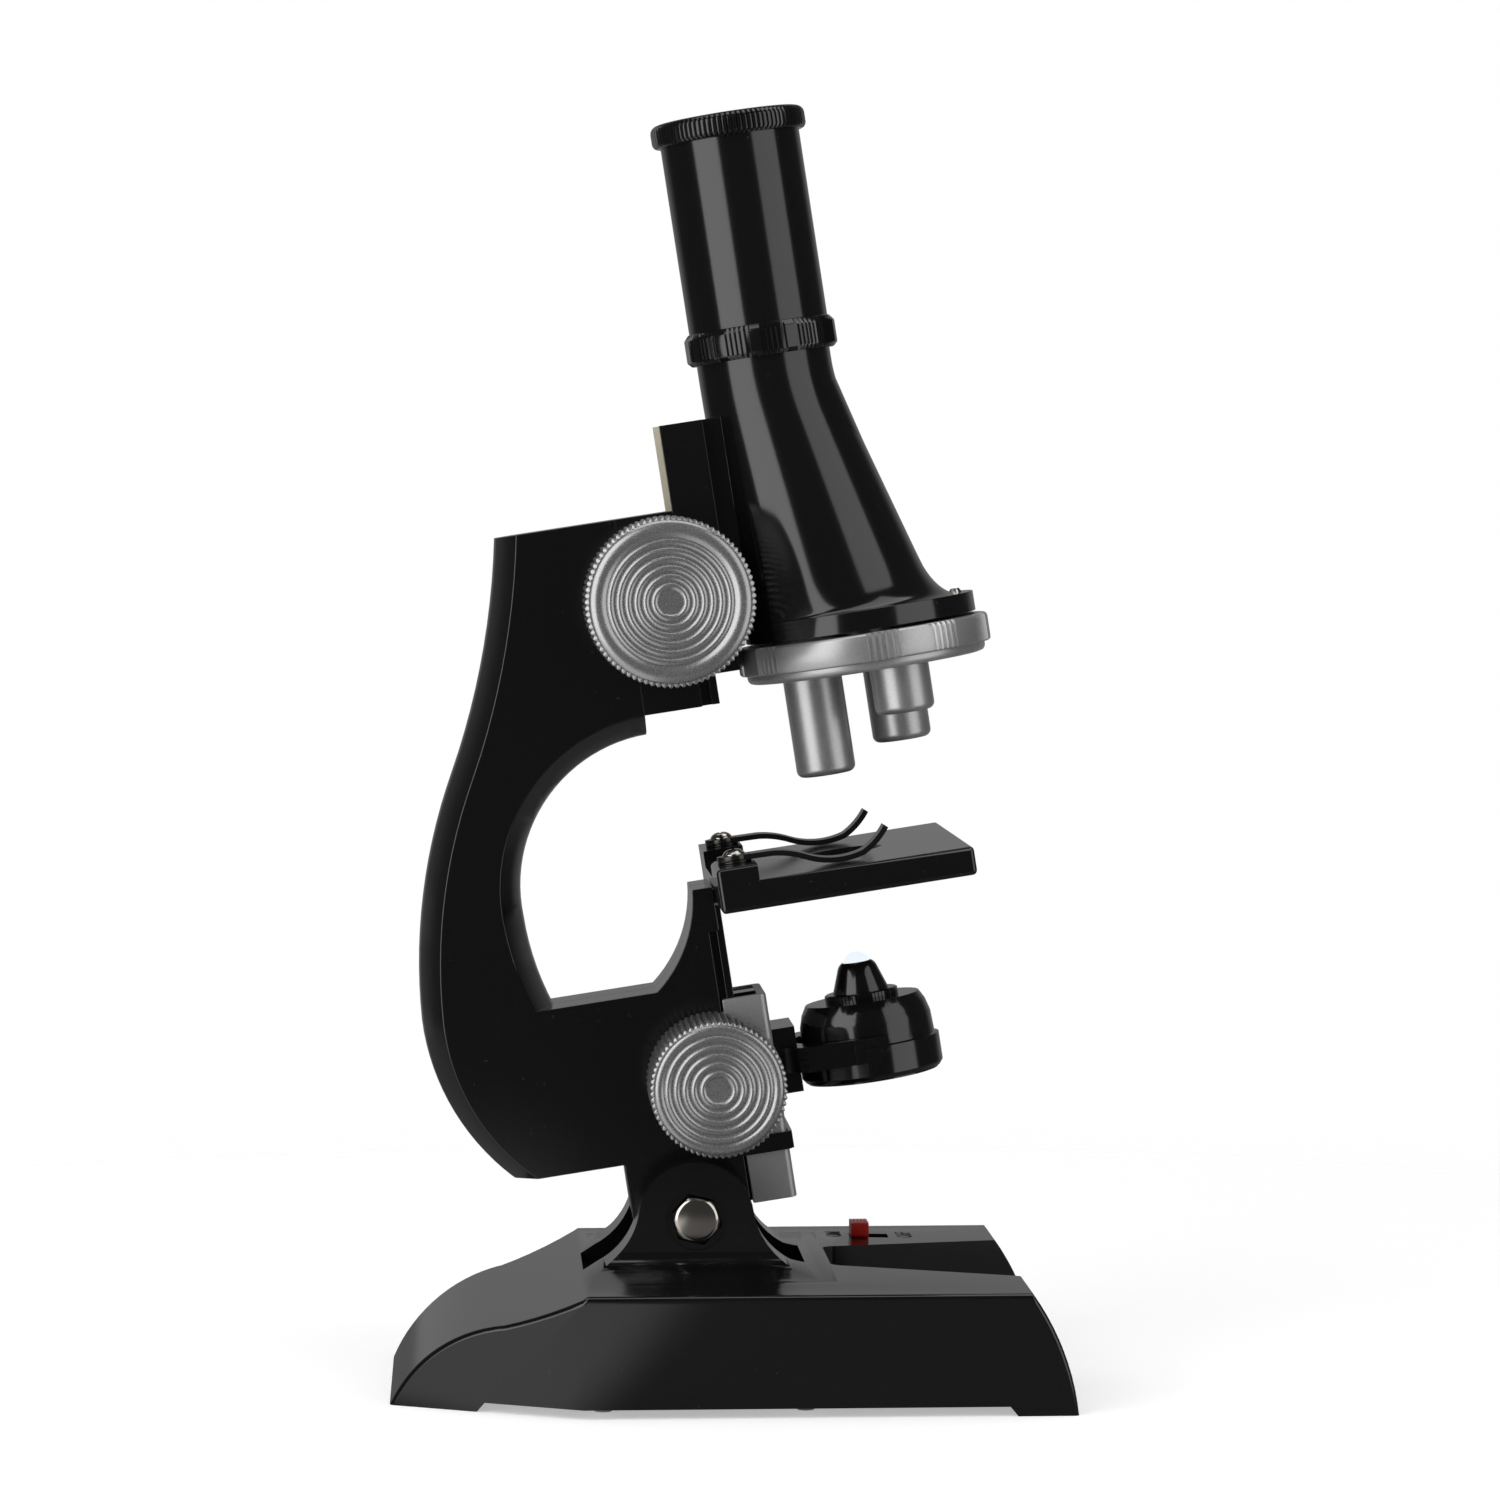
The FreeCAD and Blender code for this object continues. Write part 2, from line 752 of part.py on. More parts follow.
def build_base_housing():
    """Moulded base: hollow below, hinge towers, V-shaped front opening, feet under both ends."""
    base = Piece("base_housing", GROUND)
    high = S.bolt_height + S.ear_radius + 5
    outline = base_side_outline()
    base.pad("XZ", [outline], -S.base_half_width, S.base_half_width)

    # the skirts that run out from the towers to the sides
    reach = S.base_half_width + 1
    bend = S.ear_face + 3
    side = [
        (S.ear_face, S.skirt_height),
        (bend, S.skirt_height - 2.4, 3.2),
        (S.base_half_width, S.base_height, 95),
        (reach, S.base_height),
        (reach, high),
        (S.ear_face, high),
    ]
    base.pocket("YZ", [side, mirrored(side)], -S.base_rear - 1, S.base_front + 1)

    # the rear narrows in plan
    rear = S.base_rear + 1
    corner = [
        (-S.slope_start, S.base_half_width),
        (-S.slope_start, reach),
        (-rear, reach),
        (-rear, S.base_rear_half_width),
        (-S.base_rear, S.base_rear_half_width),
    ]
    other = [(x, -as_size(y)) for x, y in corner]
    base.pocket("XY", [corner, other], -1, high)

    # V-shaped opening between the front legs
    spread = (S.notch_mouth_half - S.notch_half) / (S.base_top_front - S.notch_reach)
    mouth = S.base_front + 1
    half_at = S.notch_half + spread * S.notch_corner
    mouth_half = S.notch_half + spread * (mouth - S.notch_reach)
    inner_half = S.notch_half - S.notch_corner
    opening = [
        (mouth, -mouth_half),
        (mouth, mouth_half),
        (S.notch_reach + S.notch_corner, half_at),
        (S.notch_reach, inner_half, S.notch_corner * 1.15),
        (S.notch_reach, -inner_half),
        (S.notch_reach + S.notch_corner, -half_at, S.notch_corner * 1.15),
    ]
    base.pocket("XY", [opening], -1, high)

    # hollow under the roof
    ceiling = S.base_height - S.roof
    wall_half = S.base_half_width - S.base_wall
    bay_front = S.notch_reach - S.base_wall
    leg_front = S.base_top_front - 1
    leg_half = S.notch_half + spread * (leg_front - S.notch_reach) + S.base_wall
    bay = [
        (-S.slope_start, -wall_half),
        (leg_front, -wall_half),
        (leg_front, -leg_half),
        (bay_front + 1, -S.notch_half - S.base_wall),
        (bay_front, -S.notch_half),
        (bay_front, S.notch_half),
        (bay_front + 1, S.notch_half + S.base_wall),
        (leg_front, leg_half),
        (leg_front, wall_half),
        (-S.slope_start, wall_half),
    ]
    base.pocket("XY", [bay], -1, ceiling)
    narrowing = (S.base_half_width - S.base_rear_half_width) / (S.base_rear - S.slope_start)
    rear_half = wall_half - narrowing * (S.rear_bay_reach - S.slope_start)
    rear_bay = [
        (-S.rear_bay_reach, -rear_half),
        (-S.slope_start, -wall_half),
        (-S.slope_start, wall_half),
        (-S.rear_bay_reach, rear_half),
    ]
    base.pocket("XY", [rear_bay], -1, S.rear_bay_height)

    # ribs that carry the battery contacts, and posts for the cover screws
    rib_inner = battery_reach() + S.contact_thick
    rib_outer = rib_inner + S.rib_thick
    rib_rear = S.cell_middle - S.cell_spacing
    rib_front = S.cell_middle + S.cell_spacing
    ribs = [
        box_outline(rib_rear, rib_front, rib_inner, rib_outer),
        box_outline(rib_rear, rib_front, -rib_outer, -rib_inner),
    ]
    base.pad("XY", ribs, cover_top() + S.slack, ceiling + 1)
    posts = [Round(x, y, POST_RADIUS) for x, y in cover_screw_points()]
    base.pad("XY", posts, cover_top(), ceiling + 1)

    # the hinge: a slot for the arm, a bolt hole, a hexagonal seat in each tower
    slot = box_outline(
        S.bolt_forward - S.slot_half_length,
        S.bolt_forward + S.slot_half_length,
        -S.arm_half - S.rail_gap,
        S.arm_half + S.rail_gap,
    )
    base.pocket("XY", [slot], S.slot_floor, high)
    hole = [Round(S.bolt_forward, S.bolt_height, S.bolt_radius + S.running)]
    base.pocket("XZ", hole, -S.ear_face - 1, S.ear_face + 1)
    seat = [hexagon_outline(S.bolt_forward, S.bolt_height, S.hex_across + 2 * S.hex_clearance)]
    ring = [Round(S.bolt_forward, S.bolt_height, S.recess_radius)]
    deep = S.ear_face - S.hex_head
    base.pocket("XZ", seat, -S.ear_face - 1, -deep)
    base.pocket("XZ", seat, deep, S.ear_face + 1)
    base.pocket("XZ", ring, -S.ear_face - 1, S.recess_depth - S.ear_face)
    base.pocket("XZ", ring, S.ear_face - S.recess_depth, S.ear_face + 1)

    # the slide switch's slot in the roof of the far leg
    stem_end = S.switch_forward + S.button_long + S.switch_travel + S.slack
    switch_slot = box_outline(
        S.switch_forward - S.slack,
        stem_end,
        S.switch_side - STEM_HALF - S.slack,
        S.switch_side + STEM_HALF + S.slack,
    )
    base.pocket("XY", [switch_slot], ceiling - 1, high)
    return base.finish()


POST_RADIUS = 2.8
STEM_HALF = 2.2


def hexagon_outline(x, z, across):
    """Returns the hexagonal seat of a bolt's head, turned as the head is."""
    corner = across / root(3)
    angles = [math.radians(HEX_TURN + 60 * k) for k in range(6)]
    return [(x + corner * math.cos(a), z + corner * math.sin(a)) for a in angles]


HEX_TURN = -13.0


def cover_top():
    """Returns the height of the upper face of the bottom cover."""
    return S.foot_lift + S.cover_thick


def cell_level():
    """Returns the height of the batteries' axes."""
    return cover_top() + S.slack + S.cell_radius


def battery_reach():
    """Returns how far the contacts stand from the middle of the base."""
    return (S.cell_length + S.cell_nub) / 2 + 2


def cover_screw_points():
    """Returns where the bottom cover's screws stand."""
    side = S.base_half_width - S.base_wall - POST_RADIUS
    front = S.notch_reach - S.base_wall - POST_RADIUS - 1
    rear = -S.slope_start + POST_RADIUS + 0.5
    return [(front, side), (front, -side), (rear, side), (rear, -side)]


def build_bottom():
    """Bottom cover with its battery door, and four screws."""
    low, high = S.foot_lift, cover_top()
    wall_half = S.base_half_width - S.base_wall - S.slack
    front = S.notch_reach - S.base_wall - S.slack
    narrowing = (S.base_half_width - S.base_rear_half_width) / (S.base_rear - S.slope_start)
    rear = S.rear_bay_reach - S.slack
    rear_half = wall_half - narrowing * (S.rear_bay_reach - S.slope_start) - S.slack
    hatch_rear = S.cell_middle - S.cell_spacing
    hatch_front = S.cell_middle + S.cell_spacing
    hatch_half = battery_reach()
    cover = Piece("bottom_cover", GROUND)
    plan = [
        (-rear, -rear_half),
        (-S.slope_start, -wall_half),
        (front, -wall_half),
        (front, wall_half),
        (-S.slope_start, wall_half),
        (-rear, rear_half),
    ]
    cover.pad("XY", [plan], low, high)
    cover.pocket("XY", [box_outline(hatch_rear, hatch_front, -hatch_half, hatch_half)], 0, high + 1)
    holes = [Round(x, y, SCREW_SHANK + S.slack) for x, y in cover_screw_points()]
    cover.pocket("XY", holes, 0, high + 1)
    cover.finish()

    door = Piece("battery_door", GROUND)
    plan = box_outline(
        hatch_rear + S.slack, hatch_front - S.slack, -hatch_half + S.slack, hatch_half - S.slack
    )
    door.pad("XY", [plan], low, high)
    tongue = box_outline(hatch_rear - 2, hatch_rear + 3, -6, 6)
    door.pad("XY", [tongue], high, high + 0.8)
    grip = box_outline(hatch_front - 8, hatch_front - 5, -8, 8)
    door.pocket("XY", [grip], 0, low + 0.6)
    door.finish()

    screws = []
    for number, (x, y) in enumerate(cover_screw_points(), start=1):
        at = (x, y, low)
        screws.append(
            pan_screw("cover_screw_%d" % number, at, "-Z", SCREW_HEAD, 0.9, SCREW_SHANK, 1.1)
        )
    group("cover_screws", screws, GROUND)


SCREW_SHANK = 1.2
SCREW_HEAD = 2.3


def build_batteries():
    """Two AA cells side by side, and the sheet contacts at their ends."""
    names = ("battery_cell_rear", "battery_cell_front")
    for sign, name in zip((-1, 1), names):
        forward = S.cell_middle + S.cell_spacing * (sign * 0.5)
        cell = Piece(name, GROUND)
        half = S.cell_length / 2
        nub = half + S.cell_nub
        profile = [
            (0, -half),
            (S.cell_radius, -half),
            (S.cell_radius, half),
            (S.cell_nub_radius, half),
            (S.cell_nub_radius, nub),
            (0, nub),
        ]
        if sign < 0:
            profile = [(x, -as_size(y)) for x, y in reversed(profile)]
        cell.revolve(profile, (forward, 0, cell_level()), "Y")
        cell.finish()

    plates = []
    reach = battery_reach()
    for side, sign in (("far", 1), ("near", -1)):
        for place_name, end in (("rear", -1), ("front", 1)):
            forward = S.cell_middle + S.cell_spacing * (end * 0.5)
            plate = DOC.addObject("Part::Box", "contact_%s_%s" % (side, place_name))
            bind(plate, "Length", S.cell_spacing - 2)
            bind(plate, "Width", S.contact_thick)
            bind(plate, "Height", 11)
            low_side = reach if sign > 0 else -reach - S.contact_thick
            set_place(plate, (forward - S.cell_spacing / 2 + 1, low_side, cell_level() - 5), "Z")
            touches_nub = sign == end
            gap = 1.0 if touches_nub else 1.0 + S.cell_nub
            length = as_size(gap + 0.5)
            start = reach - length if sign > 0 else -reach
            spring = taper(
                "spring_%s_%s" % (side, place_name),
                (forward, start, cell_level()),
                "Y",
                2.2 if sign > 0 else 4.2,
                4.2 if sign > 0 else 2.2,
                length,
            )
            plates.append(fused("battery_contact_%s_%s" % (side, place_name), [plate, spring]))
    group("battery_contacts", plates, GROUND)


def build_switch():
    """Slide switch under the roof of the far leg, and the red button that stands through the slot."""
    ceiling = S.base_height - S.roof
    body = Piece("switch_body", GROUND)
    rear = S.switch_forward - 2
    front = S.switch_forward + S.button_long + S.switch_travel + 2
    half = STEM_HALF + 1.3
    plan = box_outline(rear, front, S.switch_side - half, S.switch_side + half)
    body.pad("XY", [plan], ceiling - 6, ceiling)
    travel = box_outline(
        S.switch_forward - S.slack,
        S.switch_forward + S.button_long + S.switch_travel + S.slack,
        S.switch_side - STEM_HALF - S.slack,
        S.switch_side + STEM_HALF + S.slack,
    )
    body.pocket("XY", [travel], ceiling - 2, ceiling + 1)
    body.finish()

    button = Piece("switch_button", GROUND)
    top = S.crown_height + 0.45
    x0, x1 = S.switch_forward, S.switch_forward + S.button_long
    stem = box_outline(x0, x1, S.switch_side - STEM_HALF, S.switch_side + STEM_HALF)
    button.pad("XY", [stem], ceiling - 1.7, top + 0.5)
    half = S.button_wide / 2
    grip = box_outline(x0, x1, S.switch_side - half, S.switch_side + half)
    button.pad("XY", [grip], top, top + S.button_tall)
    ridge = S.button_long / 5
    peak = top + S.button_tall
    tooth = [(x0 + ridge * 0.7, peak + 1), (x0 + ridge, peak - 0.35), (x0 + ridge * 1.3, peak + 1)]
    notch = button.pocket("XZ", [tooth], S.switch_side - half - 1, S.switch_side + half + 1)
    button.repeat_line(notch, notch.Profile[0], "H_Axis", ridge, 4)
    button.finish()


def build_hinge():
    """The hex bolt that carries the arm, seated in the near tower, and its nut in the far one."""
    head_face = S.ear_face + 0.3
    seat = S.ear_face - S.hex_head
    at = (S.bolt_forward, -head_face, S.bolt_height)
    near = hexagon("bolt_head", at, "Y", S.hex_across, head_face - seat, -HEX_TURN)
    near_top = taper(
        "bolt_crown",
        (S.bolt_forward, -head_face - 0.5, S.bolt_height),
        "Y",
        S.hex_across * 0.42,
        S.hex_across * 0.49,
        0.5,
    )
    shank = rod(
        "bolt_shank",
        (S.bolt_forward, -seat, S.bolt_height),
        "Y",
        S.bolt_radius,
        seat + S.ear_face - 0.4,
    )
    node(fused("hinge_bolt", [near, near_top, shank]), "hinge_bolt", GROUND)
    at = (S.bolt_forward, seat, S.bolt_height)
    nut = hexagon("nut_body", at, "Y", S.hex_across, 3.2, -HEX_TURN)
    bore = rod("nut_bore", (S.bolt_forward, seat - 1, S.bolt_height), "Y", S.bolt_radius, 6)
    node(cut("hinge_nut", nut, bore), "hinge_nut", GROUND)


# ---------------------------------------------------------------- arm

def arm_outline(inset=0):
    """Returns the side outline of the arm: neck, belly, heel, lug, post and throat.

    The back and the throat draw in by the inset, the lug and the post keep their place.
    """
    inset = as_size(inset)
    return [
        (S.arm_seam, S.arm_top),
        (inset - S.arm_top_rear, S.arm_top),
        (inset * 0.95 - S.neck_rear, S.neck_level - inset * 0.3, -S.neck_curve - inset),
        (inset - S.belly_rear, S.belly_level, S.back_curve - inset),
        (inset * 1.15 - S.heel_rear, S.heel_level, S.belly_curve - inset),
        (-S.lug_rear, S.heel_level),
        (-S.lug_rear, 0),
        (S.lug_front, 0, (S.lug_rear + S.lug_front) / 2 + HAIR),
        (S.lug_front, S.post_step),
        (S.post_front, S.post_step),
        (S.post_front, S.post_top),
        (S.post_rear, S.post_top),
        (-S.post_foot, S.ledge_level, -S.post_curve),
        (-S.ledge_rear - inset * 0.87, S.ledge_level),
        (-S.throat_rear - inset * 0.95, S.throat_level, -S.throat_heel_curve - inset),
        (S.arm_seam, S.throat_top + inset, -S.throat_curve - inset),
    ]


def hollow_outline():
    """Returns the outline of the space inside the arm, one rim in from its seam outline."""
    rim = S.shell_rim
    return [
        (-rim, S.arm_top - rim),
        (-S.arm_top_rear + rim - 1, S.arm_top - rim),
        (-S.neck_rear + rim, S.neck_level, -(S.neck_curve + rim)),
        (-S.belly_rear + rim, S.belly_level, S.back_curve - rim),
        (-S.heel_rear + rim, S.heel_level + rim, S.belly_curve - rim),
        (-S.lug_rear, S.heel_level + rim),
        (-S.lug_rear, S.ledge_level - rim),
        (-S.ledge_rear - rim, S.ledge_level - rim),
        (-S.throat_rear - rim, S.throat_level, -S.throat_heel_curve - rim),
        (-rim, S.throat_top + rim, -(S.throat_curve + rim)),
    ]


def arm_screw_points():
    """Returns where the screws that hold the two arm shells together stand."""
    strip = (S.belly_rear + S.throat_rear) / 2
    return [
        (-S.arm_top_rear + ARM_SCREW_INSET, S.focus_level - 4.2),
        (HAIR - strip, S.belly_level + 8),
        (-S.ledge_rear + 3.2, S.ledge_level * 0.62),
        (-(S.neck_rear + S.throat_rear) / 2 + 8, S.neck_level + 5.5),
    ]


BOSS_RADIUS = 3.0
ARM_SCREW_INSET = 4.9


def build_arm_shell(label, sign):
    """One of the arm's two half shells: sign is -1 for the near one and 1 for the far one."""
    shell = Piece(label)

    def span(first, last):
        """Returns the low and high side of a span given outwards from the seam."""
        first, last = as_size(first) * sign, as_size(last) * sign
        return (first, last) if sign > 0 else (last, first)

    shell.loft(
        "AdditiveLoft",
        "XZ",
        [
            ((0, 0, 0), arm_outline()),
            ((0, S.ridge_half * sign, 0), arm_outline(S.bevel_in * 0.12)),
            ((0, S.arm_half * sign, 0), arm_outline(S.bevel_in)),
        ],
    )
    shell.pocket("XZ", [hollow_outline()], *span(-1, S.arm_half - S.shell_wall))
    bosses = [Round(x, z, BOSS_RADIUS) for x, z in arm_screw_points()]
    shell.pad("XZ", bosses, *span(0, S.arm_half - S.shell_wall + 0.5))

    # tenon pocket of the focusing head, and the stage's tongue pocket
    low, high = tenon_levels()
    pocket = box_outline(-TENON_LENGTH, S.arm_seam + 1, low - 0.1, high + 0.1)
    shell.pocket("XZ", [pocket], *span(-1, TENON_HALF + 0.1))
    tongue = box_outline(TONGUE_REAR - 0.1, S.post_front + 1, *tongue_levels(0.1))
    shell.pocket("XZ", [tongue], *span(-1, TONGUE_HALF + 0.1))

    # T rail down the front, open along its middle for the rack
    web_front = S.lug_front + S.web_depth
    web = box_outline(S.lug_front - 1, web_front, 0, S.post_step)
    shell.pad("XZ", [web], *span(S.groove_half, S.web_half))
    flange = box_outline(web_front, web_front + S.flange_depth, 0, S.flange_top)
    shell.pad("XZ", [flange], *span(S.groove_half, S.flange_half))

    # pinion well, shaft bore, hinge bore
    tip = S.tooth_module * (S.lamp_teeth / 2 + 1)
    well = [Round(S.lamp_knob_forward, S.lamp_knob_level, tip + 0.4)]
    shell.pocket("XZ", well, *span(-1, S.pinion_half + 0.3))
    bore = [Round(S.lamp_knob_forward, S.lamp_knob_level, S.shaft_radius + S.running)]
    shell.pocket("XZ", bore, *span(-1, S.arm_half + 1))
    hinge = [Round(0, 0, S.bolt_radius + S.running)]
    shell.pocket("XZ", hinge, *span(-1, S.arm_half + 1))
    if sign > 0:
        holes = [Round(x, z, SCREW_SHANK + 0.1) for x, z in arm_screw_points()]
        shell.pocket("XZ", holes, *span(-1, S.arm_half + 1))
        seats = [Round(x, z, SCREW_HEAD + 0.2) for x, z in arm_screw_points()]
        shell.pocket("XZ", seats, *span(S.arm_half - 1.2, S.arm_half + 1))
    else:
        holes = [Round(x, z, SCREW_SHANK + 0.1) for x, z in arm_screw_points()]
        shell.pocket("XZ", holes, *span(-1, 5))
    return shell.finish()


TENON_LENGTH = 4.0
TENON_HALF = 5.0
TONGUE_REAR = 9.0
TONGUE_HALF = 6.0


def tenon_levels():
    """Returns the lower and upper level of the focusing head's tenon."""
    return S.head_foot + 8, S.arm_top - 8


def tongue_levels(clearance=0):
    """Returns the lower and upper level of the stage's rear tongue."""
    return (
        S.stage_top - S.stage_thick - clearance,
        S.stage_top - S.stage_thick + 2.2 + clearance,
    )


def build_arm_screws():
    """Screws through the far shell into the near shell's bosses."""
    screws = []
    for number, (x, z) in enumerate(arm_screw_points(), start=1):
        at = (x, S.arm_half - 1.2, z)
        screws.append(
            pan_screw(
                "arm_screw_%d" % number, at, "Y", SCREW_HEAD, 1.0, SCREW_SHANK, S.arm_half * 1.3
            )
        )
    group("arm_screws", screws)


def build_focus_head():
    """Head block on top of the arm: its T rail guides the tube carriage, the pinion runs inside."""
    head = Piece("focus_head")
    block = box_outline(S.arm_seam, S.head_front, S.head_foot, S.arm_top)
    head.pad("XZ", [block], -S.arm_half, S.arm_half)
    low, high = tenon_levels()
    tenon = box_outline(-TENON_LENGTH + 0.1, S.arm_seam + 1, low, high)
    head.pad("XZ", [tenon], -TENON_HALF, TENON_HALF)
    web_front = S.head_front + S.head_web
    web = box_outline(S.head_front - 1, web_front, S.head_foot, S.arm_top)
    head.pad("XZ", [web], -S.web_half, S.web_half)
    flange = box_outline(web_front, web_front + S.flange_depth, S.head_foot, S.arm_top)
    head.pad("XZ", [flange], -S.flange_half, S.flange_half)
    front = web_front + S.flange_depth + 1
    rack_way = box_outline(rack_tip(FOCUS) - 0.5, front, S.head_foot - 1, S.arm_top + 1)
    head.pocket("XZ", [rack_way], -S.groove_half, S.groove_half)
    tip = S.tooth_module * (S.focus_teeth / 2 + 1)
    well = [Round(S.focus_forward, S.focus_level, tip + 0.4)]
    head.pocket("XZ", well, -S.pinion_half - 0.3, S.pinion_half + 0.3)
    bore = [Round(S.focus_forward, S.focus_level, S.shaft_radius + S.running)]
    head.pocket("XZ", bore, -S.arm_half - 1, S.arm_half + 1)
    head.finish()


def build_stage():
    """Stage plate with two raised bosses for the clips, and a tongue held between the arm shells."""
    stage = Piece("stage_plate")
    under = S.stage_top - S.stage_thick
    plan = box_outline(S.stage_rear, S.stage_front, -S.stage_half, S.stage_half)
    stage.pad("XY", [plan], under, S.stage_top)
    near = box_outline(S.stage_rear, S.boss_front, -S.stage_half, -S.boss_inner)
    far = box_outline(S.stage_rear, S.boss_front, S.boss_inner, S.stage_half)
    stage.pad("XY", [near, far], S.stage_top - 1, S.boss_top)
    tongue = box_outline(TONGUE_REAR, S.stage_rear + 1, -TONGUE_HALF, TONGUE_HALF)
    low, high = tongue_levels()
    stage.pad("XY", [tongue], low, high)
    stage.pocket("XY", [Round(S.axis_forward, 0, S.stage_hole)], under - 1, S.boss_top)
    rim = [(0, 0), (S.stage_hole + 1.4, 0), (S.stage_hole, -1.4), (0, -1.4)]
    stage.groove(rim, (S.axis_forward, 0, S.stage_top))
    holes = [Round(S.clip_screw_forward, sign * S.clip_side, SCREW_SHANK + 0.1) for sign in (-1, 1)]
    stage.pocket("XY", holes, S.boss_top - 5, S.boss_top + 1)
    stage.finish()


def build_clips():
    """Spring clips that swing about their screws, with a washer under each."""
    seat = S.boss_top + WASHER_THICK
    for label, sign in (("clip_near", -1), ("clip_far", 1)):
        clip = Piece(label)
        middle = S.clip_side * sign
        clip.pad("XZ", [clip_outline(seat)], middle - S.clip_half, middle + S.clip_half)
        round_end = [Round(S.clip_screw_forward, middle, CLIP_EYE)]
        clip.pad("XY", round_end, seat, seat + S.clip_thick)
        hole = [Round(S.clip_screw_forward, middle, SCREW_SHANK + S.running)]
        clip.pocket("XY", hole, seat - 1, seat + S.clip_thick + 1)
        clip.finish()

    screws = []
    for label, sign in (("near", -1), ("far", 1)):
        at = (S.clip_screw_forward, S.clip_side * sign, seat + S.clip_thick + 0.1)
        screws.append(
            pan_screw("clip_screw_" + label, at, "Z", CLIP_SCREW_HEAD, 0.9, SCREW_SHANK, 4.5)
        )
    group("clip_screws", screws)
    washers = []
    for label, sign in (("near", -1), ("far", 1)):
        at = (S.clip_screw_forward, S.clip_side * sign, S.boss_top)
        disc = rod("washer_disc_" + label, at, "Z", 2.9, WASHER_THICK - 0.05)
        hole = rod("washer_hole_" + label, at, "Z", SCREW_SHANK, WASHER_THICK)
        washers.append(cut("clip_washer_" + label, disc, hole))
    group("clip_washers", washers)


WASHER_THICK = 0.35
CLIP_EYE = 2.9
CLIP_SCREW_HEAD = 1.9


def clip_outline(seat):
    """Returns the side outline of a clip: flat at the screw, down to the slide, up at the tip.

    Each bend is an arc, and its lower face is one thickness below, square to the line.
    """
    thick = S.clip_thick
    top = seat + thick
    touch = S.stage_top + thick + S.slack
    start, reach = S.clip_screw_forward, S.clip_length
    shoulder, dip, rise = start + reach * 0.25, start + reach * 0.465, start + reach * 0.836
    tip, tip_level = start + reach, touch + 4.1
    return [
        (start, seat),
        (shoulder - thick * 0.05, seat - 0.1),
        (dip - thick * 0.42, touch + 1.3 - thick * 0.906, thick - reach * 0.62),
        (rise + thick * 0.38, touch + 0.5 - thick * 0.927, reach * 0.51 + thick),
        (tip + thick * 0.78, tip_level - thick * 0.62, reach * 0.47 + thick),
        (tip, tip_level),
        (rise, touch + 0.5, -reach * 0.47),
        (dip, touch + 1.3, -reach * 0.51),
        (shoulder, top - 0.1, reach * 0.62),
        (start, top),
    ]


def build_strap():
    """Strap round the lamp slide that keeps it on the arm's rail."""
    strap = Piece("slide_strap")
    inner = S.arm_half
    outer = S.arm_half + S.strap_thick
    front_in = S.slide_front + S.slack
    front_out = front_in + S.strap_thick
    rear = S.lug_front - 3
    plan = [
        (rear, -outer),
        (front_out - 1, -outer),
        (front_out, 1 - outer),
        (front_out, outer - 1),
        (front_out - 1, outer),
        (rear, outer),
        (rear, inner),
        (front_in, inner),
        (front_in, -inner),
        (rear, -inner),
    ]
    strap.pad("XY", [plan], S.strap_foot, S.strap_top)
    strap.finish()


# ---------------------------------------------------------------- racks, pinions, shafts and knobs

FOCUS = "focus"
LAMP = "lamp"


def drive(kind):
    """Returns the place of a drive's shaft and its number of teeth."""
    if kind == FOCUS:
        return S.focus_forward, S.focus_level, S.focus_teeth
    return S.lamp_knob_forward, S.lamp_knob_level, S.lamp_teeth


def rack_pitch(kind):
    """Returns how far forwards a rack's pitch line lies."""
    forward, _, teeth = drive(kind)
    return forward + S.tooth_module * teeth / 2


def rack_tip(kind):
    """Returns how far forwards the tips of a rack's teeth lie."""
    return rack_pitch(kind) - S.tooth_module + S.backlash


def build_rack(label, kind, back, low, high, head=0):
    """A toothed bar between two plain edges, with a gap facing the pinion's rest tooth."""
    _, level, _ = drive(kind)
    rack = Piece(label)
    tip = rack_tip(kind)
    rack.pad("XZ", [box_outline(tip, back, low, high)], -S.rack_half, S.rack_half)
    pitch = S.tooth_module * math.pi
    depth = S.tooth_module * 2.1
    first = level + S.tooth_module * (math.pi * rack_start(level, low))
    gap = [
        (tip - 0.5, first - pitch * 0.42),
        (tip + depth, first - pitch * 0.16),
        (tip + depth, first + pitch * 0.16),
        (tip - 0.5, first + pitch * 0.42),
    ]
    across = S.pinion_half + S.slack / 2
    notch = rack.pocket("XZ", [gap], -across, across)
    count = int((high.value - head - first.value) / pitch.value)
    rack.repeat_line(notch, notch.Profile[0], "V_Axis", pitch, count)
    return rack


def rack_start(level, low):
    """Returns how many whole pitches below the shaft's level the first gap lies."""
    pitch = S.tooth_module.value * math.pi
    return -int((level.value - low.value - pitch * 0.6) / pitch)


